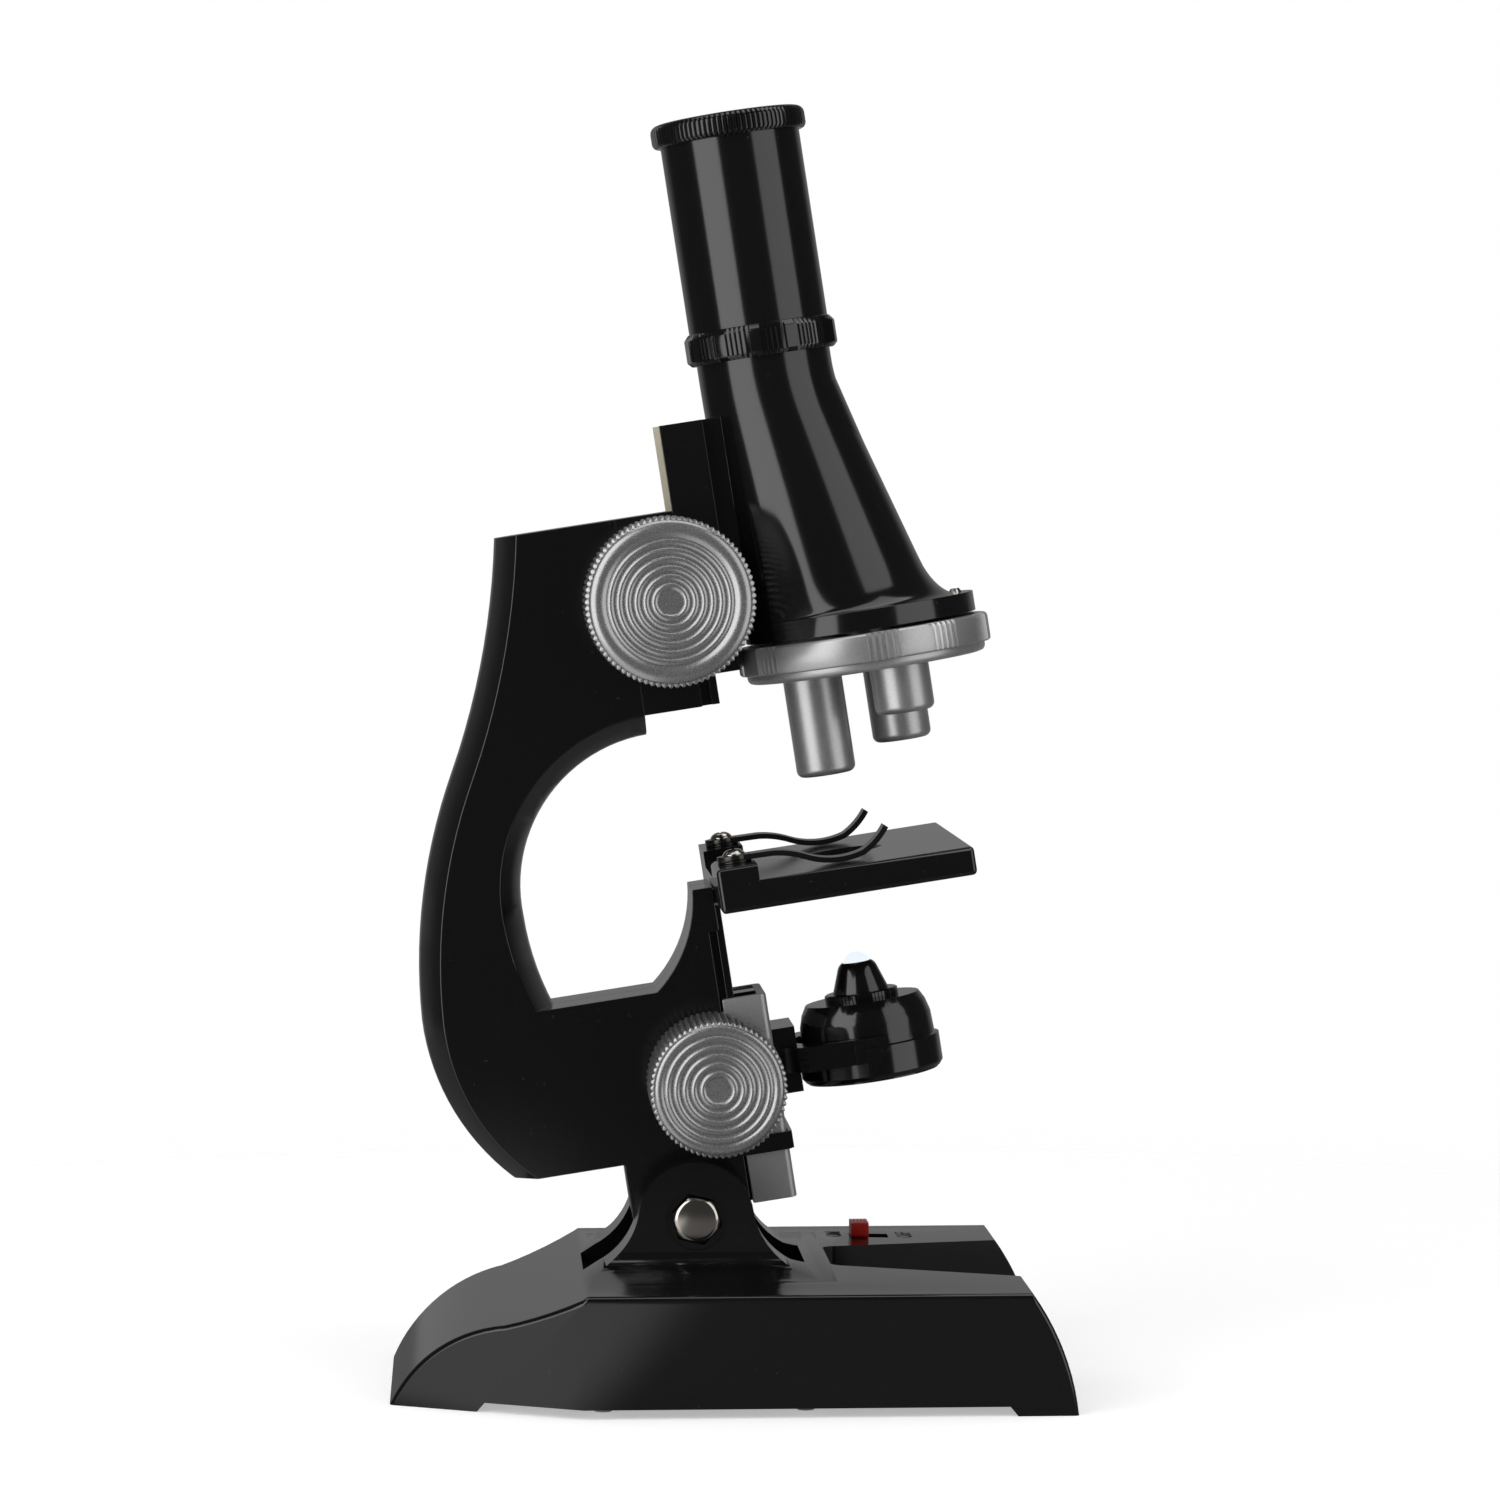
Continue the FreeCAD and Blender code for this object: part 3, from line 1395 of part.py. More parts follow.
def build_shaft(label, kind):
    """A shaft with its pinion cut in the middle and an end in each knob."""
    forward, level, teeth = drive(kind)
    shaft = Piece(label)
    count = int(teeth.value)
    tip = S.tooth_module * (teeth / 2 + 1)
    foot = S.tooth_module * (teeth / 2 - 1.25)
    end = S.knob_outer - 4
    turn = [
        (0, -end),
        (S.shaft_radius, -end),
        (S.shaft_radius, -S.pinion_half),
        (tip, -S.pinion_half),
        (tip, S.pinion_half),
        (S.shaft_radius, S.pinion_half),
        (S.shaft_radius, end),
        (0, end),
    ]
    shaft.revolve(turn, (forward, 0, level), "Y")
    pitch_angle = math.pi / count
    # a tooth points straight at the rack, so the first gap is half a pitch off
    sketch = shaft.sketch("XZ", (forward, S.pinion_half + 0.5, level))
    wide = 0.85 * pitch_angle
    narrow = 0.42 * pitch_angle
    outline = []
    for radius, angle in (
        (tip + 0.6, pitch_angle - wide),
        (tip + 0.6, pitch_angle + wide),
        (foot, pitch_angle + narrow),
        (foot, pitch_angle - narrow),
    ):
        outline.append((radius * math.cos(angle), radius * math.sin(angle)))
    draw(sketch, outline)
    gap = shaft.feature("Pocket", sketch, 2 * S.pinion_half + 1, along=False)
    shaft.repeat_round(gap, sketch, "N_Axis", count)
    return shaft


def ringed_face(radius, face, count):
    """Returns the profile of a knob's face: a flat hub and then rings with V grooves between."""
    step = (radius * 0.72 - S.knob_hub) / count
    points = [(0, face), (S.knob_hub, face)]
    for ring in range(count):
        foot = S.knob_hub + step * ring
        points += [(foot + step * 0.5, face - RING_DEPTH), (foot + step, face)]
    return points


def build_knob(label, kind, radius, sign):
    """A knob on the end of a shaft, ringed face outwards: sign is -1 near and 1 far."""
    forward, level, _ = drive(kind)
    knob = Piece(label)
    inner, outer = S.knob_inner, S.knob_outer
    profile = [(0, inner + 2)] + ringed_face(radius, outer - S.knob_dish, KNOB_RINGS[kind])
    profile += [
        (radius * 0.80, outer - 0.3),
        (radius * 0.90, outer),
        (radius * 0.955, outer - 0.5),
        (radius, outer - 1.4),
        (radius, inner),
        (radius - 1.8, inner),
        (radius - 1.8, inner + 2),
    ]
    if sign < 0:
        profile = [(x, -as_size(y)) for x, y in profile]
    knob.revolve(profile, (forward, 0, level), "Y")
    bore = [Round(forward, level, S.shaft_radius)]
    end = outer - 4
    if sign > 0:
        knob.pocket("XZ", bore, inner - 1, end)
    else:
        knob.pocket("XZ", bore, -end, -inner + 1)

    # the knurl round the edge
    low, high = (inner - 1, outer - 1) if sign > 0 else (-outer + 1, -inner + 1)
    sketch = knob.sketch("XZ", (forward, high, level))
    draw(sketch, notch_outline(radius, KNOB_RIBS[kind], 0))
    cut_feature = knob.feature("Pocket", sketch, high - low, along=False)
    knob.repeat_round(cut_feature, sketch, "N_Axis", KNOB_RIBS[kind])
    knob.finish()


def notch_outline(radius, count, angle, depth=0.35):
    """Returns a V notch at an angle, in degrees, round a circle that count notches would fill."""
    radius = as_size(radius)
    bottom, top = radius - depth, radius + 0.4
    half = 0.72 * math.pi / count
    middle = math.radians(angle)
    return [
        (bottom * math.cos(middle), bottom * math.sin(middle)),
        (top * math.cos(middle - half), top * math.sin(middle - half)),
        (top * math.cos(middle + half), top * math.sin(middle + half)),
    ]


KNOB_RINGS = {FOCUS: 9, LAMP: 6}
KNOB_RIBS = {FOCUS: 84, LAMP: 68}
RING_DEPTH = 0.3


def build_drives():
    """The focusing drive on top and the lamp drive below: shaft, pinion and two knobs each."""
    for kind, radius in ((FOCUS, S.focus_knob_radius), (LAMP, S.lamp_knob_radius)):
        build_shaft(kind + "_pinion_shaft", kind).finish()
        build_knob(kind + "_knob_near", kind, radius, -1)
        build_knob(kind + "_knob_far", kind, radius, 1)


# ---------------------------------------------------------------- tube carriage

def build_body_tube():
    """Slanting body tube with its rail channel behind and the turret flange below."""
    tube = Piece("body_tube")
    rear = S.head_front
    low, high = S.carriage_foot, S.carriage_top
    block = box_outline(rear, S.carriage_front, low, high)
    tube.pad("XZ", [block], -S.arm_half, S.arm_half)
    saddle = box_outline(S.carriage_front - 1, S.axis_forward - 4, low + S.saddle_rise, high)
    tube.pad("XZ", [saddle], -S.saddle_half, S.saddle_half)
    tube.loft("AdditiveLoft", "XY", outer_rings())
    tube.pad(
        "XY",
        [Round(S.turret_forward, 0, S.tube_flange_radius)],
        S.flange_under,
        S.flange_level,
    )

    # light path
    tube.loft("SubtractiveLoft", "XY", inner_rings())
    tube.pocket("XY", [Round(S.axis_forward, 0, LIGHT_HOLE)], S.flange_under - 1, S.cone_foot)
    tube.pocket(
        "XY",
        [Round(S.turret_forward, 0, S.bolt_radius - 0.7)],
        S.flange_under - 1,
        S.flange_level + 1,
    )
    edge = S.turret_forward + S.tube_flange_radius - DETENT_INSET
    tube.pocket("XY", [Round(edge, 0, DETENT_SHANK)], S.flange_level - 2, S.flange_level + 1)

    # C channel that wraps the head's T rail
    gap = S.rail_gap
    lips = box_outline(rear - 1, rear + S.head_web, low - 1, high + 1)
    tube.pocket("XZ", [lips], -S.web_half - gap, S.web_half + gap)
    way_rear = rear + S.head_web - 1.5 * gap
    way = box_outline(way_rear, channel_front(), low - 1, high + 1)
    tube.pocket("XZ", [way], -S.flange_half - gap, S.flange_half + gap)
    tube.finish()


LIGHT_HOLE = 4.5
DETENT_INSET = 3.0
DETENT_SHANK = 0.7


def channel_front():
    """Returns how far forwards the inside of the tube carriage's channel reaches."""
    return S.head_front + S.head_web + S.flange_depth + 1.5 * S.rail_gap


def outer_rings():
    """Returns the circles of the body tube's outside, from the turret flange up to the neck."""
    return [
        ((S.flare_forward, 0, S.flange_level - 0.5), Round(0, 0, S.flare_radius)),
        ((S.cone_foot_forward, 0, S.cone_foot), Round(0, 0, S.cone_foot_radius)),
        ((S.axis_forward, 0, S.neck_foot), Round(0, 0, S.neck_radius)),
        ((S.axis_forward, 0, S.neck_top), Round(0, 0, S.neck_radius)),
    ]


def inner_rings():
    """Returns the circles of the body tube's inside."""
    wall = S.tube_wall
    return [
        ((S.cone_foot_forward, 0, S.flange_level), Round(0, 0, S.cone_foot_radius - wall)),
        ((S.cone_foot_forward, 0, S.cone_foot), Round(0, 0, S.cone_foot_radius - wall)),
        ((S.axis_forward, 0, S.neck_foot), Round(0, 0, S.neck_radius - wall)),
        ((S.axis_forward, 0, S.neck_top + 1), Round(0, 0, S.neck_radius - wall)),
    ]


def build_eyepiece():
    """Draw tube, grip ring and eyepiece cap with its lens: they turn together in the tube's neck."""
    at = (S.axis_forward, 0, 0)
    tube = Piece("draw_tube")
    spigot = S.neck_radius - S.tube_wall - S.running
    tube.revolve(
        [
            (spigot - 1.3, S.draw_foot - S.spigot_depth),
            (spigot, S.draw_foot - S.spigot_depth),
            (spigot, S.draw_foot),
            (S.draw_radius, S.draw_foot),
            (S.draw_radius, S.draw_top),
            (S.draw_radius - 1.4, S.draw_top),
            (S.draw_radius - 1.4, S.draw_foot + 4),
            (spigot - 1.3, S.draw_foot + 2),
        ],
        at,
    )
    tube.finish()

    ring = Piece("tube_ring")
    ring.revolve(
        [
            (S.neck_radius + S.running, S.ring_foot),
            (S.ring_radius - 0.6, S.ring_foot),
            (S.ring_radius, S.ring_foot + 0.7),
            (S.ring_radius, S.ring_top - 1),
            (S.ring_radius - 0.8, S.ring_top),
            (S.draw_radius, S.ring_top),
            (S.draw_radius, S.draw_foot),
            (S.neck_radius + S.running, S.draw_foot),
        ],
        at,
    )
    flutes = [notch_outline(S.ring_radius, 140, RIB_STEP * k, 0.3) for k in (-2, -1, 0, 1, 2)]
    flute_ring(ring, at, flutes, S.ring_foot + 0.6, S.ring_top + 0.1, RING_GROUPS)
    ring.finish()

    cap = Piece("eyepiece_cap")
    inside = S.draw_radius - 1.4
    cap.revolve(
        [
            (S.cap_opening, S.cap_top - 1.6),
            (S.cap_opening + 2.6, S.cap_top),
            (S.cap_radius - 1, S.cap_top - 0.2),
            (S.cap_radius, S.cap_top - 1.1),
            (S.cap_radius, S.draw_top + 0.8),
            (S.cap_radius - 0.6, S.draw_top),
            (inside, S.draw_top),
            (inside, S.draw_top - 4),
            (inside - 1.3, S.draw_top - 4),
            (inside - 1.3, S.draw_top),
            (S.cap_opening, S.cap_top - 2.4),
        ],
        at,
    )
    flutes = [notch_outline(S.cap_radius, CAP_RIBS, 0, 0.25)]
    flute_ring(cap, at, flutes, S.draw_top + 0.6, S.cap_top - 0.9, CAP_RIBS)
    cap.finish()

    lens = Piece("eyepiece_lens")
    lens_radius = inside - 1.4
    bulge = as_size(1.4)
    ball = (lens_radius * lens_radius + bulge * bulge) / (2 * bulge)
    lens.revolve(
        [
            (0, S.draw_top - 2.6),
            (lens_radius, S.draw_top - 2.6),
            (lens_radius, S.draw_top - 1.2),
            (0, S.draw_top - 1.2 + bulge, ball),
        ],
        at,
    )
    lens.finish()


def flute_ring(piece, at, flutes, low, high, count):
    """Cuts flutes into the outside of a turned piece from low to high, count times round."""
    x, y, _ = at
    sketch = piece.sketch("XY", (x, y, low))
    for flute in flutes:
        draw(sketch, flute)
    notch = piece.feature("Pocket", sketch, as_size(high) - low, along=True)
    notch.Reversed = True
    piece.repeat_round(notch, sketch, "N_Axis", count)


RIB_STEP = 2.4
RING_GROUPS = 13
CAP_RIBS = 90


def build_racks():
    """Focus rack inside the tube carriage's channel, lamp rack inside the lamp slide."""
    rack = build_rack(
        "focus_rack", FOCUS, channel_front(), S.carriage_foot, S.carriage_top, RACK_HEAD
    )
    rack.finish()
    low, high = S.slide_foot, S.slide_top
    rack = build_rack("lamp_rack", LAMP, S.slide_front - 1.5, low, high, 0.8)
    rack.finish()


RACK_HEAD = 2.0


def build_turret():
    """Turret disc on its screw, three objectives of different lengths and their front lenses."""
    centre = (S.turret_forward, 0, 0)
    hub = S.turret_head + 1.1
    disc = Piece("turret_disc")
    disc.revolve(
        [
            (S.turret_head + 0.3, S.turret_under),
            (S.turret_radius - 1, S.turret_under),
            (S.turret_radius, S.turret_under + 1),
            (S.turret_radius, S.turret_step),
            (S.grip_radius - 0.3, S.turret_step),
            (S.grip_radius, S.turret_step + 0.4),
            (S.grip_radius, S.turret_top - 0.5),
            (S.grip_radius - 0.5, S.turret_top),
            (S.grip_radius - 2.2, S.turret_top),
            (S.grip_radius - 2.2, S.turret_step + 1),
            (hub, S.turret_step + 1),
            (hub, S.turret_top),
            (S.bolt_radius + S.running, S.turret_top),
            (S.bolt_radius + S.running, S.turret_under + 1.5),
            (S.turret_head + 0.3, S.turret_under + 1.5),
        ],
        centre,
    )
    flutes = []
    for group_angle in (-85.0, -54.5, -24.0):
        for k in (-2, -1, 0, 1, 2):
            flutes.append(notch_outline(S.grip_radius, 220, group_angle + 2.1 * k, 0.3))
    flute_ring(disc, centre, flutes, S.turret_step - 0.1, S.turret_top - 0.4, 3)
    holes = [Round(x, y, S.objective_radius - 0.9) for _, x, y, _ in objectives()]
    disc.pocket("XY", holes, S.turret_under - 1, S.turret_step + 2)
    disc.finish()

    lenses = []
    for name, x, y, tip in objectives():
        barrel = Piece("objective_" + name)
        radius = S.objective_radius
        barrel.revolve(
            [
                (S.objective_bore, tip),
                (radius - 1.2, tip),
                (radius, tip + 1.2, 1.2),
                (radius, S.turret_under),
                (radius - 0.95, S.turret_under),
                (radius - 0.95, S.turret_step + 2.4),
                (S.objective_bore, S.turret_step + 2.4),
            ],
            (x, y, 0),
        )
        barrel.finish()
        lenses.append(rod("front_lens_" + name, (x, y, tip + 0.6), "Z", S.objective_bore, 1.0))
    group("objective_lenses", lenses)

    pin = rod(
        "turret_pin",
        (S.turret_forward, 0, S.turret_under + 1.3),
        "Z",
        S.bolt_radius,
        S.flange_under - S.turret_under - 1.3,
    )
    thread = rod(
        "turret_thread",
        (S.turret_forward, 0, S.flange_under - 0.1),
        "Z",
        S.bolt_radius - 0.7,
        S.flange_level - S.flange_under,
    )
    seat = (S.turret_forward, 0, S.turret_under + 0.2)
    head = taper("turret_screw_head", seat, "Z", S.turret_head - 0.5, S.turret_head, 1.2)
    node(fused("turret_screw", [pin, thread, head]), "turret_screw")

    # click spring over the flange's rim, held by a small screw
    edge = S.turret_forward + S.tube_flange_radius - DETENT_INSET
    at = (edge, 0, S.flange_level)
    node(pan_screw("detent_screw", at, "Z", 1.2, 0.7, DETENT_SHANK, 1.6), "detent_screw")


def objectives():
    """Returns each objective's name, place and tip level: long on the axis, two others behind."""
    half = S.objective_circle / 2
    side = S.objective_circle * math.sin(math.pi / 3)
    return [
        ("long", S.turret_forward - S.objective_circle, 0, S.turret_under - S.long_length),
        ("medium", S.turret_forward + half, side, S.turret_under - S.medium_length),
        ("short", S.turret_forward + half, -side, S.turret_under - S.short_length),
    ]


# ---------------------------------------------------------------- lamp slide and lamp

def build_slide():
    """Silver C channel that runs on the arm's T rail."""
    slide = Piece("slide_channel")
    low, high = S.slide_foot, S.slide_top
    half = S.slide_half
    plan = [
        (S.slide_rear, -half),
        (S.slide_front - 1.2, -half),
        (S.slide_front, 1.2 - half, 1.2),
        (S.slide_front, half - 1.2),
        (S.slide_front - 1.2, half, 1.2),
        (S.slide_rear, half),
    ]
    slide.pad("XY", [plan], low, high)
    gap = S.rail_gap
    web_front = S.lug_front + S.web_depth
    front = S.slide_front - 1.5
    inside = box_outline(web_front - gap, front, -S.flange_half - gap, S.flange_half + gap)
    slide.pocket("XY", [inside], low - 1, high + 1)
    mouth = box_outline(S.slide_rear - 1, web_front, -S.web_half - gap, S.web_half + gap)
    slide.pocket("XY", [mouth], low - 1, high + 1)
    slide.finish()


def build_yoke():
    """Yoke on the slide: a block with two fork arms that hold the lamp's pivots."""
    yoke = Piece("lamp_yoke")
    rear = S.slide_front
    block = box_outline(rear, S.yoke_front, -S.yoke_half, S.yoke_half)
    yoke.pad("XY", [block], S.yoke_foot, S.yoke_top)
    # outer edge sweeps out from the block to the fork, inner edge follows the lamp's rim
    turn = rear + 5.5
    eye = S.axis_forward - S.eye_rear
    outer = S.fork_outer - S.eye_proud
    plan = [
        (rear + 0.6, -S.yoke_half),
        (turn, -outer),
        (eye, -outer),
        (eye, -S.fork_outer),
        (S.fork_tip, -S.fork_outer),
        (S.fork_tip, -S.fork_inner),
        (S.axis_forward, -S.fork_inner),
        (S.axis_forward, S.fork_inner, -S.fork_inner - HAIR),
        (S.fork_tip, S.fork_inner),
        (S.fork_tip, S.fork_outer),
        (eye, S.fork_outer),
        (eye, outer),
        (turn, outer),
        (rear + 0.6, S.yoke_half),
    ]
    yoke.pad("XY", [plan], S.fork_foot, S.fork_top)
    # room for the lamp to swing right over
    for wide, tall in ((S.rim_radius, S.rim_drop), (S.dome_top_radius, S.dome_rise)):
        sweep = root(wide * wide + tall * tall) + S.slack * 1.5
        ball = [(0, -sweep), (sweep, 0, sweep), (0, sweep, sweep)]
        yoke.groove(ball, (S.axis_forward, 0, S.lamp_level))
    holes = [Round(S.axis_forward, S.lamp_level, S.pin_radius + S.running)]
    yoke.pocket("XZ", holes, -S.fork_outer - 1, S.fork_outer + 1)
    yoke.finish()


def build_lamp():
    """Lamp head: housing on two pivot pins, knurled collar, cone with its LED, mirror underneath."""
    at = (S.axis_forward, 0, 0)
    house = Piece("lamp_housing")
    wall = 1.6
    house.revolve(
        [
            (0, S.dome_top - wall),
            (S.dome_top_radius - wall, S.dome_top - wall),
            (S.dome_radius - wall, S.dome_top - 5.5),
            (S.dome_radius - wall, S.rim_foot + 2),
            (S.mirror_radius + 0.8, S.rim_foot + 2),
            (S.mirror_radius + 0.8, S.rim_foot),
            (S.rim_radius - 0.6, S.rim_foot),
            (S.rim_radius, S.rim_foot + 0.8),
            (S.rim_radius, S.rim_top),
            (S.dome_radius, S.rim_top + 0.2),
            (S.dome_radius - 0.2, S.dome_top - 3.7),
            (S.dome_radius - 0.8, S.dome_top - 1.6),
            (S.dome_top_radius, S.dome_top),
            (0, S.dome_top),
        ],
        at,
    )
    pin = [Round(S.axis_forward, S.lamp_level, S.pin_radius)]
    end = S.fork_outer + 0.3
    house.pad("XZ", pin, -end, -S.rim_radius + 1.2)
    house.pad("XZ", pin, S.rim_radius - 1.2, end)
    house.pocket("XY", [Round(S.axis_forward, 0, COLLAR_SPIGOT)], S.dome_top - 3, S.dome_top + 1)
    house.finish()

    collar = Piece("lamp_collar")
    collar.revolve(
        [
            (COLLAR_BORE, S.dome_top - wall),
            (COLLAR_SPIGOT, S.dome_top - wall),
            (COLLAR_SPIGOT, S.dome_top),
            (S.collar_radius, S.dome_top),
            (S.collar_radius, S.collar_top - 0.2),
            (S.collar_radius - 0.3, S.collar_top),
            (COLLAR_BORE, S.collar_top),
        ],
        at,
    )
    flutes = [notch_outline(S.collar_radius, COLLAR_RIBS, 0, 0.2)]
    flute_ring(collar, at, flutes, S.dome_top - 0.1, S.collar_top + 0.1, COLLAR_RIBS)
    collar.finish()

    cone = Piece("lamp_cone")
    bore = S.led_radius + 0.05
    cone.revolve(
        [
            (bore, S.dome_top - wall),
            (COLLAR_BORE, S.dome_top - wall),
            (COLLAR_BORE, S.collar_top),
            (S.cone_radius, S.collar_top),
            (S.cone_radius - 1.35, S.cone_top - 1.5),
            (S.cone_top_radius, S.cone_top - 0.5),
            (bore, S.cone_top),
        ],
        at,
    )
    cone.finish()

    led = Piece("led")
    rise = S.led_top - S.led_radius
    led.revolve(
        [
            (0, S.cone_top - 4),
            (S.led_radius, S.cone_top - 4),
            (S.led_radius, rise),
            (0, S.led_top, S.led_radius),
        ],
        at,
    )
    led.finish()

    ring = Piece("mirror_ring")
    ring.revolve(
        [
            (S.mirror_radius - 0.8, S.rim_foot - 0.3),
            (S.mirror_radius + 0.7, S.rim_foot - 0.3),
            (S.mirror_radius + 0.7, S.rim_foot + 1.9),
            (S.mirror_radius, S.rim_foot + 1.9),
            (S.mirror_radius, S.rim_foot + 0.2),
            (S.mirror_radius - 0.8, S.rim_foot + 0.2),
        ],
        at,
    )
    ring.finish()
    mirror = Piece("mirror")
    mirror.revolve(
        [
            (0, S.rim_foot + 0.2),
            (S.mirror_radius, S.rim_foot + 0.2),
            (S.mirror_radius, S.rim_foot + 1.8),
            (0, S.rim_foot + 1.8),
        ],
        at,
    )
    mirror.finish()


COLLAR_SPIGOT = 5.6
COLLAR_BORE = 4.0
COLLAR_RIBS = 60


# ---------------------------------------------------------------- build, test and write

def build_all():
    """Builds every sub-part."""
    build_base_housing()
    build_bottom()
    build_batteries()
    build_switch()
    build_hinge()
    build_arm_shell("arm_near_shell", -1)
    build_arm_shell("arm_far_shell", 1)
    build_arm_screws()
    build_focus_head()
    build_stage()
    build_clips()
    build_strap()
    build_drives()
    build_body_tube()
    build_racks()
    build_eyepiece()
    build_turret()
    build_slide()
    build_yoke()
    build_lamp()


def check_document():
    """Stops when an object of the document failed or a sub-part's shape is missing or unsound."""
    faults = []
    for thing in DOC.Objects:
        if "Invalid" in thing.State or "Error" in thing.State:
            faults.append("%s is %s" % (thing.Name, ", ".join(thing.State)))
    for thing in NODES:
        if thing.Shape.isNull() or not thing.Shape.isValid() or not thing.Shape.Solids:
            faults.append(thing.Label + " has no sound shape")
    if faults:
        raise RuntimeError("; ".join(faults))


def write_parts():
    """Writes each sub-part to its own STEP file."""
    os.makedirs("parts", exist_ok=True)
    for thing in NODES:
        thing.Shape.exportStep(os.path.join("parts", thing.Label + ".step"))


build_all()
DOC.recompute()
check_document()
write_parts()
print("wrote %d sub-parts" % len(NODES))
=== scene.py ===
"""Dresses a student's compound microscope: glossy black mouldings, silver-painted knobs and turret.

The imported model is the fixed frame. Each class below models one sub-assembly in millimetres, in the
space of the ground or of the leaning arm, and sets it in its place in metres.
"""

from __future__ import annotations

import json
import logging
import math
from dataclasses import dataclass, field
from enum import Enum
from typing import Callable, Optional, Sequence, Union

import bpy
from mathutils import Matrix, Vector


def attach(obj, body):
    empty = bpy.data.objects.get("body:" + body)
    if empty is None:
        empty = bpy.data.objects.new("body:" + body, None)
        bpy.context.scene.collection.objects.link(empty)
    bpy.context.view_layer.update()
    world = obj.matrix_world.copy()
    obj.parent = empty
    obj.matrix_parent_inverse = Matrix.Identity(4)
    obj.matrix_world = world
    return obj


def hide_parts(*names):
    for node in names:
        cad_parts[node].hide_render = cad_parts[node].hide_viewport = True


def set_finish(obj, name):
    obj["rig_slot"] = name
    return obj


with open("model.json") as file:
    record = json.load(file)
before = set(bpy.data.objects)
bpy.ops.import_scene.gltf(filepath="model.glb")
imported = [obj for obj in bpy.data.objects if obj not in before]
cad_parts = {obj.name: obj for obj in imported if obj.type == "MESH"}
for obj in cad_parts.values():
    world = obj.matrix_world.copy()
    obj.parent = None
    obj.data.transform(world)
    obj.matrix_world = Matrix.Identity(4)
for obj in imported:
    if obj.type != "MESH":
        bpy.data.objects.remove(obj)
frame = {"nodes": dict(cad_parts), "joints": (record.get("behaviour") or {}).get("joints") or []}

LOG = logging.getLogger("microscope")
MM = 0.001
TURN = 2 * math.pi
RIB_STEPS = 4  # facets to each rib or groove
WELD = 0.002  # millimetres within which modelled vertices merge
CAD_WELD = 0.001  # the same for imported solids
CAD_FLATNESS = 0.8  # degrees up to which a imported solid's facets merge
CAD_CREASE = 28.0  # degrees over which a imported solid's edges are rounded

Point = tuple[float, float]
Curve = Sequence[Point]
Colour = tuple[float, float, float, float]
Number = Union[int, float, "Wire"]


# --- shader graphs


class Wire:
    """One output socket of a shader graph, with arithmetic that adds its Math nodes."""

    def __init__(self, shop: "Shop", socket: bpy.types.NodeSocket) -> None:
        """Wraps a socket of a shop's graph."""
        self.shop = shop
        self.socket = socket

    def _math(self, operation: str, *values: Number) -> "Wire":
        """Adds one Math node over the given values."""
        return self.shop.add("ShaderNodeMath", dict(enumerate(values)), {"operation": operation})

    def __add__(self, other: Number) -> "Wire":
        """Adds."""
        return self._math("ADD", self, other)

    def __sub__(self, other: Number) -> "Wire":
        """Subtracts."""
        return self._math("SUBTRACT", self, other)

    def __rsub__(self, other: Number) -> "Wire":
        """Subtracts from a number."""
        return self._math("SUBTRACT", other, self)

    def __mul__(self, other: Number) -> "Wire":
        """Multiplies."""
        return self._math("MULTIPLY", self, other)

    __radd__ = __add__
    __rmul__ = __mul__

    def above(self, low: float, high: float) -> "Wire":
        """Rises smoothly from 0 at low to 1 at high."""
        sockets = {"Value": self, "From Min": low, "From Max": high}
        return self.shop.add("ShaderNodeMapRange", sockets, {"interpolation_type": "SMOOTHSTEP"})


class Shop:
    """Builds one material's or world's node graph."""

    def __init__(self, tree: bpy.types.NodeTree) -> None:
        """Starts from an empty graph."""
        self.tree = tree
        self.tree.nodes.clear()

    def add(
        self,
        kind: str,
        sockets: Optional[dict] = None,
        settings: Optional[dict] = None,
        output: Union[int, str] = 0,
    ) -> Wire:
        """Adds one node.

        Args:
            kind: the node's type.
            sockets: values or wires by socket name or number.
            settings: its properties, set before its sockets.
            output: the output socket to return.

        Returns:
            The chosen output as a wire.
        """
        node = self.tree.nodes.new(kind)
        for name, value in (settings or {}).items():
            setattr(node, name, value)
        for name, value in (sockets or {}).items():
            if isinstance(value, Wire):
                self.tree.links.new(value.socket, node.inputs[name])
            else:
                node.inputs[name].default_value = value
        return Wire(self, node.outputs[output] if node.outputs else None)

    def place(self, scale: Sequence[float] = (1.0, 1.0, 1.0)) -> Wire:
        """Returns object coordinates, in metres, stretched by a scale."""
        coordinates = self.add("ShaderNodeTexCoord", output="Object")
        return self.add("ShaderNodeMapping", {"Vector": coordinates, "Scale": tuple(scale)})

    def noise(self, size_mm: float, detail: float, stretch: Sequence[float] = (1, 1, 1)) -> Wire:
        """Returns a noise whose blotches are about size_mm across."""
        sockets = {"Vector": self.place(stretch), "Scale": 1 / (size_mm * MM), "Detail": detail}
        return self.add("ShaderNodeTexNoise", sockets)

    def blend(self, factor: Number, first: Colour, second: Colour) -> Wire:
        """Mixes two colours."""
        sockets = {"Factor": factor, 6: first, 7: second}
        return self.add("ShaderNodeMix", sockets, {"data_type": "RGBA"}, 2)

    def bump(self, height: Wire, distance_mm: float, strength: float = 1.0) -> Wire:
        """Turns a height into a normal."""
        sockets = {"Height": height, "Distance": distance_mm * MM, "Strength": strength}
        return self.add("ShaderNodeBump", sockets)

    def ray(self, kind: str) -> Wire:
        """Returns 1 for rays of a kind, such as Camera or Glossy, and 0 for others."""
        return self.add("ShaderNodeLightPath", output="Is %s Ray" % kind)

    def glow(self, strength: Wire) -> Wire:
        """Returns a white light of a varying strength."""
        return self.add("ShaderNodeEmission", {"Color": grey(1.0), "Strength": strength})


